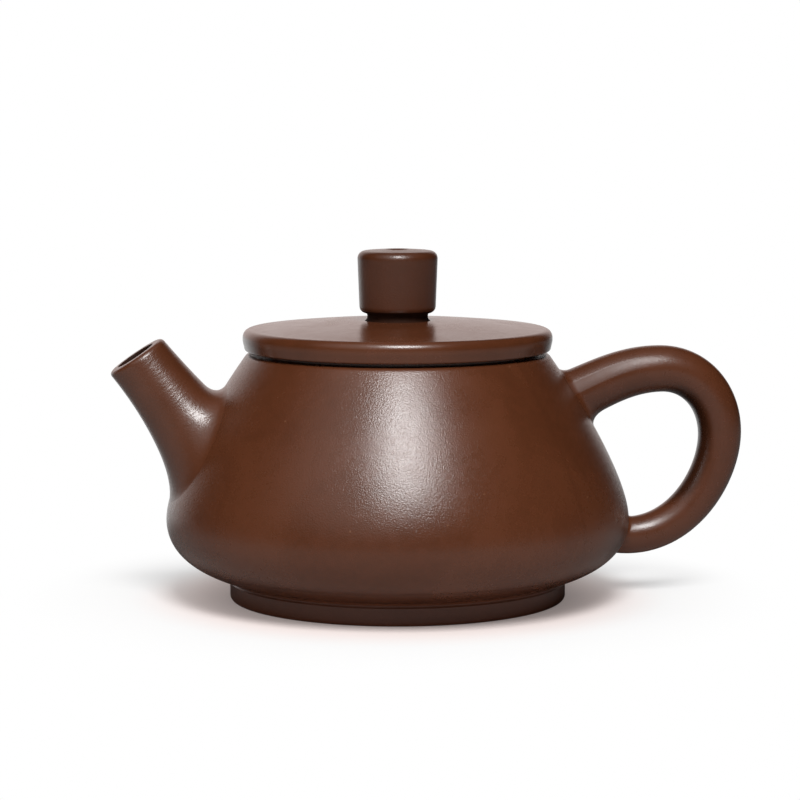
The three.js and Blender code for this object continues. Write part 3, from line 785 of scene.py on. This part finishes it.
def spout_hole():
    """Where the spout's centreline meets the wall, and the wall's normal there."""
    t = crossing(lambda s, b: beyond_wall(SPOUT_TUBE.skin(s, b, SPOUT_TUBE.radius(s))), 0, 1, np.zeros(1))
    centre = SPOUT_TUBE.skin(t, np.zeros(1), SPOUT_TUBE.radius(t))
    _, facing = wall_spot(centre)
    return centre[0], facing[0]


def make_strainer():
    """A dome square to the wall: points foot cos b + inwards height sin b, for b from 0 to 90 degrees,
    with a second, smaller dome inside it, and rings of drilled holes that point at its middle."""
    centre, facing = spout_hole()
    inwards = -facing
    across = np.cross([0, 1, 0], inwards)
    middle = centre + inwards * (WALL + CLAY_GAP)
    a = np.arange(STRAINER_SIDES)[:, None, None] / STRAINER_SIDES * 2 * math.pi
    b = np.linspace(0, math.pi / 2, STRAINER_STEPS)[None, :, None]
    ring = np.cos(a) * across + np.sin(a) * np.array([0, 1, 0])

    def dome(radius, height):
        """Quarter arcs from a foot that follows the wall up to the dome's top."""
        foot = on_wall(middle + ring * radius, -(WALL + CLAY_GAP)) - middle
        return middle + foot * np.cos(b) + inwards * height * np.sin(b)

    inner = dome(STRAINER_R - STRAINER_WALL, STRAINER_HEIGHT - STRAINER_WALL)
    outer = dome(STRAINER_R, STRAINER_HEIGHT)
    piece = grid_piece("pot_ball_strainer", np.concatenate([inner[:, ::-1], outer], axis=1), looped=False)
    holes = []
    for lean, count in STRAINER_RINGS:
        tilt = math.radians(lean)
        for turn in np.arange(count) / count * 2 * math.pi:
            side = math.cos(turn) * across + math.sin(turn) * np.array([0, 1, 0])
            way = math.cos(tilt) * inwards + math.sin(tilt) * side
            holes.append((middle, way, STRAINER_HOLE_R, 2 * STRAINER_R, PIN_SIDES))
    carve(piece, holes)
    return piece


hole_centre, hole_facing = spout_hole()
carve(wall, [(hole_centre - hole_facing * 2 * WALL, hole_facing, HOLE_R, 4 * WALL, HOLE_SIDES)])
strainer = make_strainer()

# %% [markdown]
# ## The handle
#
# A roll of clay, thicker at the top, bent into a round loop. Its centreline leaves the wall rising,
# passes level over its top, drops straight at its furthest point and comes back to the wall almost
# level. Three Beziers with those headings join without a kink. The potter smooths the joint above and
# below, and leaves a thin crease at the sides.

# %% Handle
HANDLE_UPPER = {"below_rim": 10.35 * MM, "depth": 1.56 * MM, "slope": 24.8, "ease": 7.6 * MM}
HANDLE_TOP = {"below_rim": 4.0 * MM, "out": 7.75 * MM, "ease_in": 7.8 * MM, "ease_out": 8.0 * MM}
HANDLE_FAR = {"below_rim": 18.7 * MM, "out": 21.2 * MM, "ease_in": 8.1 * MM, "ease_out": 10.1 * MM}
HANDLE_LOWER = {"below_belly": 4.7 * MM, "depth": 1.95 * MM, "slope": -9.7, "ease": 15.3 * MM}
HANDLE_RADII = np.array([5.95, 5.2, 4.85, 4.45, 4.1]) * MM
HANDLE_FLARE = {"tube": 2.4 * MM, "wall": 1.8 * MM}
HANDLE_FLARE_UNDER = {"tube": 4.2 * MM, "wall": 2.6 * MM}
HANDLE_FLARE_ASIDE = {"tube": 1.3 * MM, "wall": 0.9 * MM}
HANDLE_CREASE = math.radians(30)
HANDLE_CLEAR = (0.3, 0.7)
HANDLE_SIDES = 192
HANDLE_STEPS = 300


def handle_tube():
    """Three Beziers from the upper root over the top and the furthest point to the lower root, and a
    radius that is the smooth polynomial through its values at the quarters of the length."""
    def root(height, depth):
        """A spot inside the wall, at a height and a depth from its outside."""
        return np.array([AXIS.x + np.interp(height, OUTLINE[:, 1], OUTLINE[:, 0]) - depth, height])

    upper = root(RIM_Z - HANDLE_UPPER["below_rim"], HANDLE_UPPER["depth"])
    lower = root(BELLY_Z - HANDLE_LOWER["below_belly"], HANDLE_LOWER["depth"])
    top = np.array([AXIS.x + BELLY_R + HANDLE_TOP["out"], RIM_Z - HANDLE_TOP["below_rim"]])
    far = np.array([AXIS.x + BELLY_R + HANDLE_FAR["out"], RIM_Z - HANDLE_FAR["below_rim"]])
    level, upright = np.array([1, 0]), np.array([0, 1])
    out = upper + heading(HANDLE_UPPER["slope"]) * HANDLE_UPPER["ease"]
    back = lower + heading(HANDLE_LOWER["slope"]) * HANDLE_LOWER["ease"]
    into_top, out_of_top = top - level * HANDLE_TOP["ease_in"], top + level * HANDLE_TOP["ease_out"]
    into_far, out_of_far = far + upright * HANDLE_FAR["ease_in"], far - upright * HANDLE_FAR["ease_out"]
    line = np.vstack([
        bezier(upper, out, into_top, top, HANDLE_STEPS),
        bezier(top, out_of_top, into_far, far, HANDLE_STEPS)[1:],
        bezier(far, out_of_far, back, lower, HANDLE_STEPS)[1:],
    ])
    quarters = np.linspace(0, 1, len(HANDLE_RADII))
    radius = np.polynomial.Polynomial.fit(quarters, HANDLE_RADII, len(HANDLE_RADII) - 1)
    return Tube(line, radius)


def make_handle(tube):
    """From a pole inside the wall, out through the flared upper root, round the loop, and back."""
    a = np.arange(HANDLE_SIDES) / HANDLE_SIDES * 2 * math.pi
    crease = HANDLE_CREASE * np.sin(a) ** 2

    def root(outside, inside, under):
        """One end's blend into the wall, with its own flare on the side towards the loop."""
        flare, reach = (
            round_blend(a, key, under, HANDLE_FLARE_ASIDE, HANDLE_FLARE) for key in ("tube", "wall")
        )
        return flared_root(tube, a, outside, inside, flare, reach, crease, steps=20)

    upper, upper_root = root(HANDLE_CLEAR[0], 0, HANDLE_FLARE_UNDER)
    lower, lower_root = root(HANDLE_CLEAR[1], 1, HANDLE_FLARE)
    loop = run(tube, upper, lower, a, count=200)

    def pole(root):
        """A cap inside the wall, from the root's edge to its middle."""
        sunk = on_wall(root[:, -1], -SUNK)
        centre = on_wall(root[:, -1].mean(0)[None], -SUNK)
        return np.stack([sunk, lerp(sunk, centre, 0.5), lerp(sunk, centre, 1.0)], axis=1)

    strips = [pole(upper_root)[:, ::-1], upper_root[:, ::-1], loop[:, 1:-1], lower_root, pole(lower_root)]
    piece = grid_piece("pot_handle", np.concatenate(strips, axis=1), looped=False)
    print("pot_handle", len(piece.data.polygons), "faces, centreline", round(tube.length / MM, 1), "mm")
    return piece


HANDLE_TUBE = handle_tube()
handle = make_handle(HANDLE_TUBE)

# %% [markdown]
# ## The lid
#
# The lid is a disc that overhangs the rim by a hair. Its top looks flat but rises by 1.75 mm to the knob,
# and its upper edge is well rounded. Its side leans in a little towards its lower edge, and its underside
# is relieved there, which leaves the dark line between lid and rim. A flange under it drops into the
# mouth. The knob is a short cylinder, slightly wider at its top, on a narrow neck, and an air hole runs
# from a shallow dish on the knob down through the lid. All four are turned, so each is one profile.

# %% Lid pieces
LID_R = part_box("lid_disc")[1][1]
LID_CROWN = 1.75 * MM
LID_CROWN_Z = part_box("lid_disc")[1][2]
LID_TOP = LID_CROWN_Z - LID_CROWN
FLANGE_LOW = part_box("lid_flange")[0][2]
FLANGE_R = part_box("lid_flange")[1][1]
KNOB_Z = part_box("knob")[0][2]
KNOB_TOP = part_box("knob")[1][2]
KNOB_TOP_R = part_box("knob")[1][1]
LID_TOP_ROUND = 1.9 * MM
LID_GAP = 0.8 * MM
LID_GAP_DEEP = 3.2 * MM
LID_FOOT_ROUND = 0.5 * MM
CROWN_EASE = 0.38
LID_TUCK = 0.45 * MM
LID_RISE = 3.3 * MM
FLANGE_THICKNESS = 2.2 * MM
FLANGE_ROUND = 0.7 * MM
NECK_R = 6.65 * MM
NECK_FLARE = 0.55 * MM
KNOB_FOOT_R = 8.4 * MM
KNOB_CROWN = 0.45 * MM
KNOB_ROUND = 1.6 * MM
KNOB_CHAMFER = 1.05 * MM
# how high the painted shade reaches on the knob's foot
KNOB_SHADE_HEIGHT = 0.5 * MM
VENT_R = 1.1 * MM
VENT_DISH_R = 3.3 * MM
VENT_DISH_DEPTH = 1.5 * MM
VENT_DISH_EASE = 0.2 * MM


def make_lid_disc():
    """A disc round the air hole: a slightly domed top, a rounded upper edge and a tucked-in lower one."""
    low = RIM_Z + LID_GAP
    corner = np.array([LID_R - LID_TUCK, low])
    up = np.array([LID_R, RIM_Z + LID_RISE])
    on_side = lerp(corner, up, LID_FOOT_ROUND / np.linalg.norm(up - corner))
    foot = rounded([corner[0] - LID_FOOT_ROUND, low], corner, on_side, count=8)
    side = bezier(on_side, lerp(on_side, up, 0.5), up - [0, LID_RISE / 5], up, count=8)
    under = np.vstack([[[LID_R - LID_GAP_DEEP, RIM_Z], [LID_R - LID_GAP_DEEP, low]], foot, side])
    edge = rounded([LID_R, LID_TOP - LID_TOP_ROUND], [LID_R, LID_TOP],
                   [LID_R - LID_TOP_ROUND, LID_TOP], count=16)
    seat = NECK_R + NECK_FLARE
    middle = lerp(seat, edge[-1][0], CROWN_EASE)
    crown = bezier(edge[-1], lerp(edge[-1], np.array([middle, LID_CROWN_Z]), 2 / 3),
                   [lerp(seat, middle, 2 / 3), LID_CROWN_Z], [seat, LID_CROWN_Z], count=40)
    section = profile([VENT_R, RIM_Z], under, edge, crown, [VENT_R, LID_CROWN_Z], [VENT_R, RIM_Z])
    return turned("lid_plate", densified(section, FINE), sides=FINE_SIDES)


def make_lid_flange():
    """A ring under the lid with rounded lower edges."""
    inner = FLANGE_R - FLANGE_THICKNESS
    inside = rounded([inner, FLANGE_LOW + FLANGE_ROUND], [inner, FLANGE_LOW],
                     [inner + FLANGE_ROUND, FLANGE_LOW])
    outside = rounded([FLANGE_R - FLANGE_ROUND, FLANGE_LOW], [FLANGE_R, FLANGE_LOW],
                      [FLANGE_R, FLANGE_LOW + FLANGE_ROUND])
    section = profile(inside, outside, [FLANGE_R, RIM_Z], [inner, RIM_Z], inside[:1])
    return turned("lid_collar", densified(section, FINE), sides=192)


def make_neck():
    """A short waist with a flared foot on the lid and a flared head under the knob."""
    height = KNOB_Z - LID_CROWN_Z
    waist = [NECK_R, LID_CROWN_Z + height / 2]
    foot = rounded([NECK_R + NECK_FLARE, LID_CROWN_Z], [NECK_R, LID_CROWN_Z + height / 8], waist, count=12)
    head = rounded(waist, [NECK_R, KNOB_Z - height / 6], [NECK_R + NECK_FLARE / 2, KNOB_Z], count=8)
    section = profile([VENT_R, LID_CROWN_Z], foot, head, [VENT_R, KNOB_Z], [VENT_R, LID_CROWN_Z])
    return turned("lid_neck", densified(section, FINE / 2), sides=128)


def make_knob():
    """A tapering cylinder with a chamfered foot, a rounded and slightly domed top and a dished air hole."""
    foot = rounded([KNOB_FOOT_R - KNOB_CHAMFER, KNOB_Z], [KNOB_FOOT_R, KNOB_Z + KNOB_CHAMFER / 3],
                   [KNOB_FOOT_R, KNOB_Z + KNOB_CHAMFER * 1.4], count=12)
    brow = KNOB_TOP - KNOB_CROWN
    edge = rounded([KNOB_TOP_R, brow - KNOB_ROUND], [KNOB_TOP_R, brow],
                   [KNOB_TOP_R - KNOB_ROUND, brow + KNOB_CROWN / 3], count=16)
    dish = rounded([VENT_DISH_R, KNOB_TOP], [VENT_R + VENT_DISH_EASE, KNOB_TOP],
                   [VENT_R, KNOB_TOP - VENT_DISH_DEPTH], count=12)
    section = profile([VENT_R, KNOB_Z], foot, edge, dish, [VENT_R, KNOB_Z])
    return turned("lid_knob", densified(section, FINE / 2), sides=160)


lid_disc = make_lid_disc()
lid_flange = make_lid_flange()
neck = make_neck()
knob = make_knob()

# %% [markdown]
# ## What fired clay looks like
#
# The clay is fired without a glaze. Outside it was burnished with a horn blade before firing, which
# gives a satin sheen over a fine orange-peel grain. The strainer and the lid's flange were left as the
# tool left them, drier and coarser. All the finishes share five effects, so each effect is a node group
# that only puts out varying values: the grain, the slow change between brown and redder brown, the tiny
# mineral specks, the ripples of fingers and the marks of turning. All read the object's own coordinates
# in metres, so a pattern doesn't stretch, and runs over the luted joints from one piece to the next.

# %% Shared effects
FINER_LUMPS = 2.7
FINER_DEPTH = 0.35
CLOUDS_PER_METRE = 38.0
FLECKS_PER_METRE = 420.0
NOISE_SPAN = (0.3, 0.7)
SPECK_EDGE = (0.06, 0.14)
RIPPLE_SQUEEZE = (0.45, 0.45, 1.0)
TURNING_DRIFT = 0.0006


def effect(name, inputs, outputs):
    """A new shader group with named float or vector inputs and float outputs."""
    tree = bpy.data.node_groups.new(name, "ShaderNodeTree")
    tree.interface.new_socket("Place", in_out="INPUT", socket_type="NodeSocketVector")
    for label, value in inputs.items():
        socket = tree.interface.new_socket(label, in_out="INPUT", socket_type="NodeSocketFloat")
        socket.default_value = value
    for label in outputs:
        tree.interface.new_socket(label, in_out="OUTPUT", socket_type="NodeSocketFloat")
    return tree, tree.nodes.new("NodeGroupInput").outputs


def noise(tree, place, scale, detail, roughness, distortion=0.0):
    """The value of one noise texture."""
    return add(tree, "ShaderNodeTexNoise", {
        "Vector": place, "Scale": scale, "Detail": detail, "Roughness": roughness, "Distortion": distortion,
    }).outputs["Fac"]


def grain_effect():
    """Orange peel: soft lumps of one size, with finer ones on them."""
    tree, given = effect("fired grain", {"Lumps per Metre": 1200.0}, ["Height"])
    finer = calculate(tree, "MULTIPLY", given["Lumps per Metre"], FINER_LUMPS)
    lumps = noise(tree, given["Place"], given["Lumps per Metre"], detail=1.0, roughness=0.5)
    fine = noise(tree, given["Place"], finer, detail=1.0, roughness=0.5)
    add(tree, "NodeGroupOutput", {"Height": calculate(tree, "MULTIPLY_ADD", fine, FINER_DEPTH, lumps)})
    return tree


def mottling_effect():
    """Slow change of colour: broad clouds, and smaller ones within them."""
    tree, given = effect("clay clouds", {}, ["Cloud", "Fleck"])
    broad = noise(tree, given["Place"], CLOUDS_PER_METRE, detail=3.0, roughness=0.55, distortion=0.6)
    small = noise(tree, given["Place"], FLECKS_PER_METRE, detail=4.0, roughness=0.65)
    add(tree, "NodeGroupOutput", {
        "Cloud": ramp(tree, broad, *NOISE_SPAN),
        "Fleck": ramp(tree, small, *NOISE_SPAN),
    })
    return tree


def specks_effect():
    """Mineral grains: a dot at the middle of a few Voronoi cells, picked by the cell's own number."""
    tree, given = effect("mineral specks", {"Cells per Metre": 500.0, "Share": 0.1}, ["Mask"])
    cells = add(tree, "ShaderNodeTexVoronoi", {"Vector": given["Place"], "Scale": given["Cells per Metre"]})
    dot = ramp(tree, cells.outputs["Distance"], *SPECK_EDGE, 1.0, 0.0)
    number = add(tree, "ShaderNodeSeparateXYZ", {0: cells.outputs["Color"]}).outputs["X"]
    picked = calculate(tree, "LESS_THAN", number, given["Share"])
    add(tree, "NodeGroupOutput", {"Mask": calculate(tree, "MULTIPLY", dot, picked)})
    return tree


def ripples_effect():
    """Finger ripples across a rolled tube: noise turned to the tube's lean and stretched across it."""
    tree, given = effect("finger ripples", {"Lean": 0.0, "Ripples per Metre": 1400.0}, ["Height"])
    level = add(tree, "ShaderNodeVectorRotate", {"Vector": given["Place"], "Angle": given["Lean"]},
                rotation_type="Y_AXIS")
    squeezed = add(tree, "ShaderNodeVectorMath", {0: level.outputs[0], 1: RIPPLE_SQUEEZE},
                   operation="MULTIPLY")
    ripples = noise(tree, squeezed.outputs[0], given["Ripples per Metre"],
                    detail=1.0, roughness=0.4, distortion=0.9)
    add(tree, "NodeGroupOutput", {"Height": ripples})
    return tree


def turning_effect():
    """Turning marks: noise read from height and radius alone, so that it runs round the piece, and drifts
    slowly with the angle."""
    tree, given = effect("turning marks", {"Marks per Metre": 900.0}, ["Height"])
    part = add(tree, "ShaderNodeSeparateXYZ", {0: given["Place"]}).outputs
    off_axis = calculate(tree, "SUBTRACT", part["X"], AXIS.x)
    level = add(tree, "ShaderNodeCombineXYZ", {"X": off_axis, "Y": part["Y"]}).outputs[0]
    radius = add(tree, "ShaderNodeVectorMath", {0: level}, operation="LENGTH").outputs["Value"]
    drift = calculate(tree, "MULTIPLY", calculate(tree, "ARCTAN2", part["Y"], off_axis), TURNING_DRIFT)
    flat = add(tree, "ShaderNodeCombineXYZ", {"X": radius, "Y": part["Z"], "Z": drift}).outputs[0]
    marks = noise(tree, flat, given["Marks per Metre"], detail=2.0, roughness=0.6)
    add(tree, "NodeGroupOutput", {"Height": marks})
    return tree


EFFECTS = {
    "grain": grain_effect(),
    "clouds": mottling_effect(),
    "specks": specks_effect(),
    "ripples": ripples_effect(),
    "turning": turning_effect(),
}


def use(tree, name, place, values=None):
    """Places a shared effect in a material, with its own values, and returns its outputs."""
    return add(tree, "ShaderNodeGroup", {"Place": place, **(values or {})}, node_tree=EFFECTS[name]).outputs


print("effects", sorted(EFFECTS))

# %% [markdown]
# ## The clay materials
#
# One function makes every clay finish, because they differ only in amounts: how rough the skin is, how
# deep its grain, how strong its ripples or turning marks, and how dark it is, which on some finishes is
# painted shade or painted light. The colours are the photo's mid-tones. The sheen isn't a separate coat:
# burnished clay has one skin, so a single rough reflection broken up by the grain is nearer to it than a
# varnish would be. Relief is added as bump, one layer on another, and only the layers that a finish has.

# %% Clay materials
CLAY_DARK = linear(82, 44, 25)
CLAY_MID = linear(91, 50, 29)
CLAY_RED = linear(100, 51, 29)
CLAY_PALE = linear(128, 88, 63)
SHEEN = 0.66
FLECK_REDDENS = 0.22
SPECK_PALES = 0.55
CLOUD_ROUGHENS = 0.05
FLECK_ROUGHENS = 0.03
CLAY_IOR = 1.5
# painted shade on the inner side of the handle's loop: the attribute's range over which it sets in, and the
# share of light that the clay keeps there
INNER_SIDE = (0.35, 0.8)
INNER_SHADE = 0.4
MATT_RISE = 0.34


def clay(name, roughness, grain, lumps, turning=0.0, ripples=0.0, lean=0.0, specks=0.03, shade=1.0,
         sheen=SHEEN, painted_shade_by=None, matt_by=None):
    """A fired clay finish. Grain, turning and ripples are depths in metres, lumps are per metre, lean is in
    radians, specks is the share of cells with a speck, and shade scales the clay's colour, which paints
    shade on some finishes and light on the foot. Attributes of the piece may say where shade is painted on
    the clay and where it is more matt."""
    material = bpy.data.materials.new(name)
    material.use_nodes = True
    tree = material.node_tree
    tree.nodes.clear()
    place = add(tree, "ShaderNodeTexCoord").outputs["Object"]
    clouds = use(tree, "clouds", place)
    speckled = use(tree, "specks", place, {"Share": specks})["Mask"]

    colour = blend(tree, clouds["Cloud"], CLAY_DARK, CLAY_MID)
    colour = blend(tree, calculate(tree, "MULTIPLY", clouds["Fleck"], FLECK_REDDENS), colour, CLAY_RED)
    colour = blend(tree, calculate(tree, "MULTIPLY", speckled, SPECK_PALES), colour, CLAY_PALE)
    # painted shade, where an attribute of the piece says so
    if painted_shade_by:
        mark = add(tree, "ShaderNodeAttribute", attribute_name=painted_shade_by).outputs["Fac"]
        shade = ramp(tree, mark, *INNER_SIDE, shade, shade * INNER_SHADE)
    # the colour scaled by shade: painted shade below 1 and painted light above 1
    colour = add(tree, "ShaderNodeVectorMath", {0: colour, "Scale": shade}, operation="SCALE").outputs[0]

    evenly = roughness - CLOUD_ROUGHENS / 2
    rough = calculate(tree, "MULTIPLY_ADD", clouds["Cloud"], CLOUD_ROUGHENS, evenly)
    rough = calculate(tree, "MULTIPLY_ADD", clouds["Fleck"], FLECK_ROUGHENS, rough)
    if matt_by:
        mark = add(tree, "ShaderNodeAttribute", attribute_name=matt_by).outputs["Fac"]
        rough = calculate(tree, "MULTIPLY_ADD", mark, MATT_RISE, rough)

    relief = {}
    layers = (
        ("turning", turning, {}),
        ("ripples", ripples, {"Lean": lean}),
        ("grain", grain, {"Lumps per Metre": lumps}),
    )
    for effect_name, depth, values in layers:
        if depth:
            height = use(tree, effect_name, place, values)["Height"]
            bump = add(tree, "ShaderNodeBump", {
                "Height": height, "Strength": 1.0, "Distance": depth, **relief,
            })
            relief = {"Normal": bump.outputs[0]}
    skin = add(tree, "ShaderNodeBsdfPrincipled", {
        "Base Color": colour, "Roughness": rough, "IOR": CLAY_IOR, "Specular IOR Level": sheen, **relief,
    })
    add(tree, "ShaderNodeOutputMaterial", {"Surface": skin.outputs[0]})
    return material


SPOUT_LEAN = math.atan2(SPOUT_TIP["out"], SPOUT_TIP["up"])
MICRON = 0.001 * MM
burnished = clay("burnished_clay", roughness=0.25, grain=44 * MICRON, lumps=3200.0)
lid_clay = clay("lid_clay", roughness=0.23, grain=10 * MICRON, lumps=3000.0, shade=0.98)
# painted light: the foot ring's clay is 1.1 times as light, standing in for the light that the floor throws
# on it
foot_clay = clay("foot_clay", roughness=0.32, grain=30 * MICRON, lumps=2800.0, turning=4 * MICRON,
                 shade=1.1)
# painted shade: the knob's clay is 0.8 times as light, standing in for the shade on it
turned_clay = clay("turned_clay", roughness=0.30, grain=34 * MICRON, lumps=2400.0, turning=4 * MICRON,
                   shade=0.80)
spout_clay = clay("spout_clay", roughness=0.29, grain=28 * MICRON, lumps=3000.0, ripples=50 * MICRON,
                  lean=SPOUT_LEAN, sheen=0.85)
# painted shade on the inner side of the handle's loop, read from an attribute
rolled_clay = clay("rolled_clay", roughness=0.27, grain=26 * MICRON, lumps=3000.0, shade=0.98,
                   painted_shade_by="inner_side_shade", matt_by="thumb_mark")
raw = clay("raw_clay", roughness=0.72, grain=60 * MICRON, lumps=900.0, turning=10 * MICRON, specks=0.12)
# painted shade: a dark clay, a quarter as light and with little sheen, put where shade falls: on the neck
# under the knob, deep in the spout's bore and at the knob's foot
dark_shade_clay = clay("painted_shade_clay", roughness=0.75, grain=50 * MICRON, lumps=900.0, turning=10 * MICRON,
                    specks=0.0, shade=0.25, sheen=0.15)
print("materials", sorted(made.name for made in bpy.data.materials if made.name.endswith("_clay")))

# %% [markdown]
# ## Marks and painted shade that belong to one piece
#
# Some marks follow a piece and not the clay. The handle looks as if a thumb had pressed along the front
# of its upper end, where it is more matt, and shade is painted on the inner side of its loop, which is
# darker. Shade is also painted in the bore of the spout and at the foot of the knob. The handle's marks
# could be painted on a picture, which needs an unwrapped surface. Here each point's place in the tube
# gives them. They are written as attributes, which the finish reads by name, and so they follow the
# handle when its shape changes. The painted shade in the bore and at the knob's foot has hard edges, so
# it is a second, dark finish on chosen faces.

# %% Painted shade and marks on the handle, the bore and the knob
INNER_SIDE_ALONG = (0.15, 0.35, 0.72, 0.9)
THUMB_ANGLE = math.radians(245)
THUMB_HALF_WIDTH = math.radians(15)
THUMB_SOFT = math.radians(4)
THUMB_END = 0.26
# the depth under the spout's skin below which shade is painted in the bore
BORE_SHADE_DEPTH = 0.8 * SPOUT_WALL
LINE_STEP = 4


def places_of(elements, what):
    """The points of a mesh, or the middles of its faces, as rows of an array."""
    places = np.empty(3 * len(elements))
    elements.foreach_get(what, places)
    return places.reshape(-1, 3)


def place_in_tube(tube, places):
    """Where places lie in a tube, by the nearest spot of its centreline: the share t of its length, the
    angle a round it as in Tube, and the distance r from the line, which is the length of the way out."""
    line, way, share = (values[::LINE_STEP] for values in (tube.line, tube.way, tube.share))
    flat, aside = places[:, [0, 2]], places[:, 1] - AXIS.y
    nearest = ((flat[:, None] - line[None]) ** 2).sum(axis=2).argmin(axis=1)
    out, along = flat - line[nearest], way[nearest]
    inwards = out[:, 0] * along[:, 1] - out[:, 1] * along[:, 0]
    a = np.arctan2(aside, inwards) % (2 * math.pi)
    return share[nearest], a, np.sqrt((out ** 2).sum(axis=1) + aside ** 2)


def mark_points(piece, name, value):
    """Writes one value for each point, which the finish reads by its name."""
    piece.data.attributes.new(name, "FLOAT", "POINT").data.foreach_set("value", value.astype(np.float32))
    print(piece.name, name, round(float(value.min()), 2), "to", round(float(value.max()), 2))


def mark_handle(piece, tube):
    """The inner side's painted shade is cos a, which is 1 in its middle, faded out towards both roots. The
    thumb's mark is 1 within a half width of its middle angle, softly ended, times 1 - (t / end)^2 along the
    handle."""
    t, a, _ = place_in_tube(tube, places_of(piece.data.vertices, "co"))
    mark_points(piece, "inner_side_shade", np.cos(a) * np.interp(t, INNER_SIDE_ALONG, (0, 1, 1, 0)))
    across = np.clip((THUMB_HALF_WIDTH - abs(a - THUMB_ANGLE)) / THUMB_SOFT, 0, 1)
    mark_points(piece, "thumb_mark", across * (1 - np.clip(t / THUMB_END, 0, 1) ** 2))


def shade_faces(piece, chosen, finish):
    """Gives a second finish to the chosen faces; here the dark one, which paints their shade."""
    piece.data.materials.append(finish)
    piece.data.polygons.foreach_set("material_index", chosen.astype(np.int32))
    print(piece.name, chosen.sum(), "faces in", finish.name)


def in_bore(piece, tube):
    """The faces that lie deep under a tube's skin, where shade is painted, so that the rounded lip keeps the
    skin's finish.
    """
    t, _, r = place_in_tube(tube, places_of(piece.data.polygons, "center"))
    return r < tube.radius(t) - BORE_SHADE_DEPTH


def under_knob(piece):
    """The faces at the knob's foot, which stand in the throat's shadow."""
    return places_of(piece.data.polygons, "center")[:, 2] < KNOB_Z + KNOB_SHADE_HEIGHT


# %% [markdown]
# ## Each piece gets its finish, its body and its node
#
# The lid rides on its own body and lifts off, and all the rest rides on the pot. The strainer and the
# flange, which the burnishing blade can't reach, take the raw finish, and the neck the dark one that
# paints its shade.

# %% Finishes and bodies
PIECES = [
    (base_disc, "base_disc", "pot", burnished),
    (wall, "body_wall", "pot", burnished),
    (shoulder_ring, "shoulder_ring", "pot", burnished),
    (foot_ring, "foot_ring", "pot", foot_clay),
    (spout, "spout", "pot", spout_clay),
    (strainer, "ball_strainer", "pot", raw),
    (handle, "handle", "pot", rolled_clay),
    (lid_disc, "lid_disc", "lid", lid_clay),
    (lid_flange, "lid_flange", "lid", raw),
    (neck, "knob_neck", "lid", dark_shade_clay),
    (knob, "knob", "lid", turned_clay),
]

for piece, node_name, body, finish in PIECES:
    piece.data.materials.clear()
    piece.data.materials.append(finish)
    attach(piece, body)
    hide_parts(node_name)
    print(piece.name, "stands for", node_name, "on", body)
# painted shade in the spout's bore and at the knob's foot
shade_faces(spout, in_bore(spout, SPOUT_TUBE), dark_shade_clay)
shade_faces(knob, under_knob(knob), dark_shade_clay)
# the painted shade on the loop's inner side, and the thumb's matt mark
mark_handle(handle, HANDLE_TUBE)
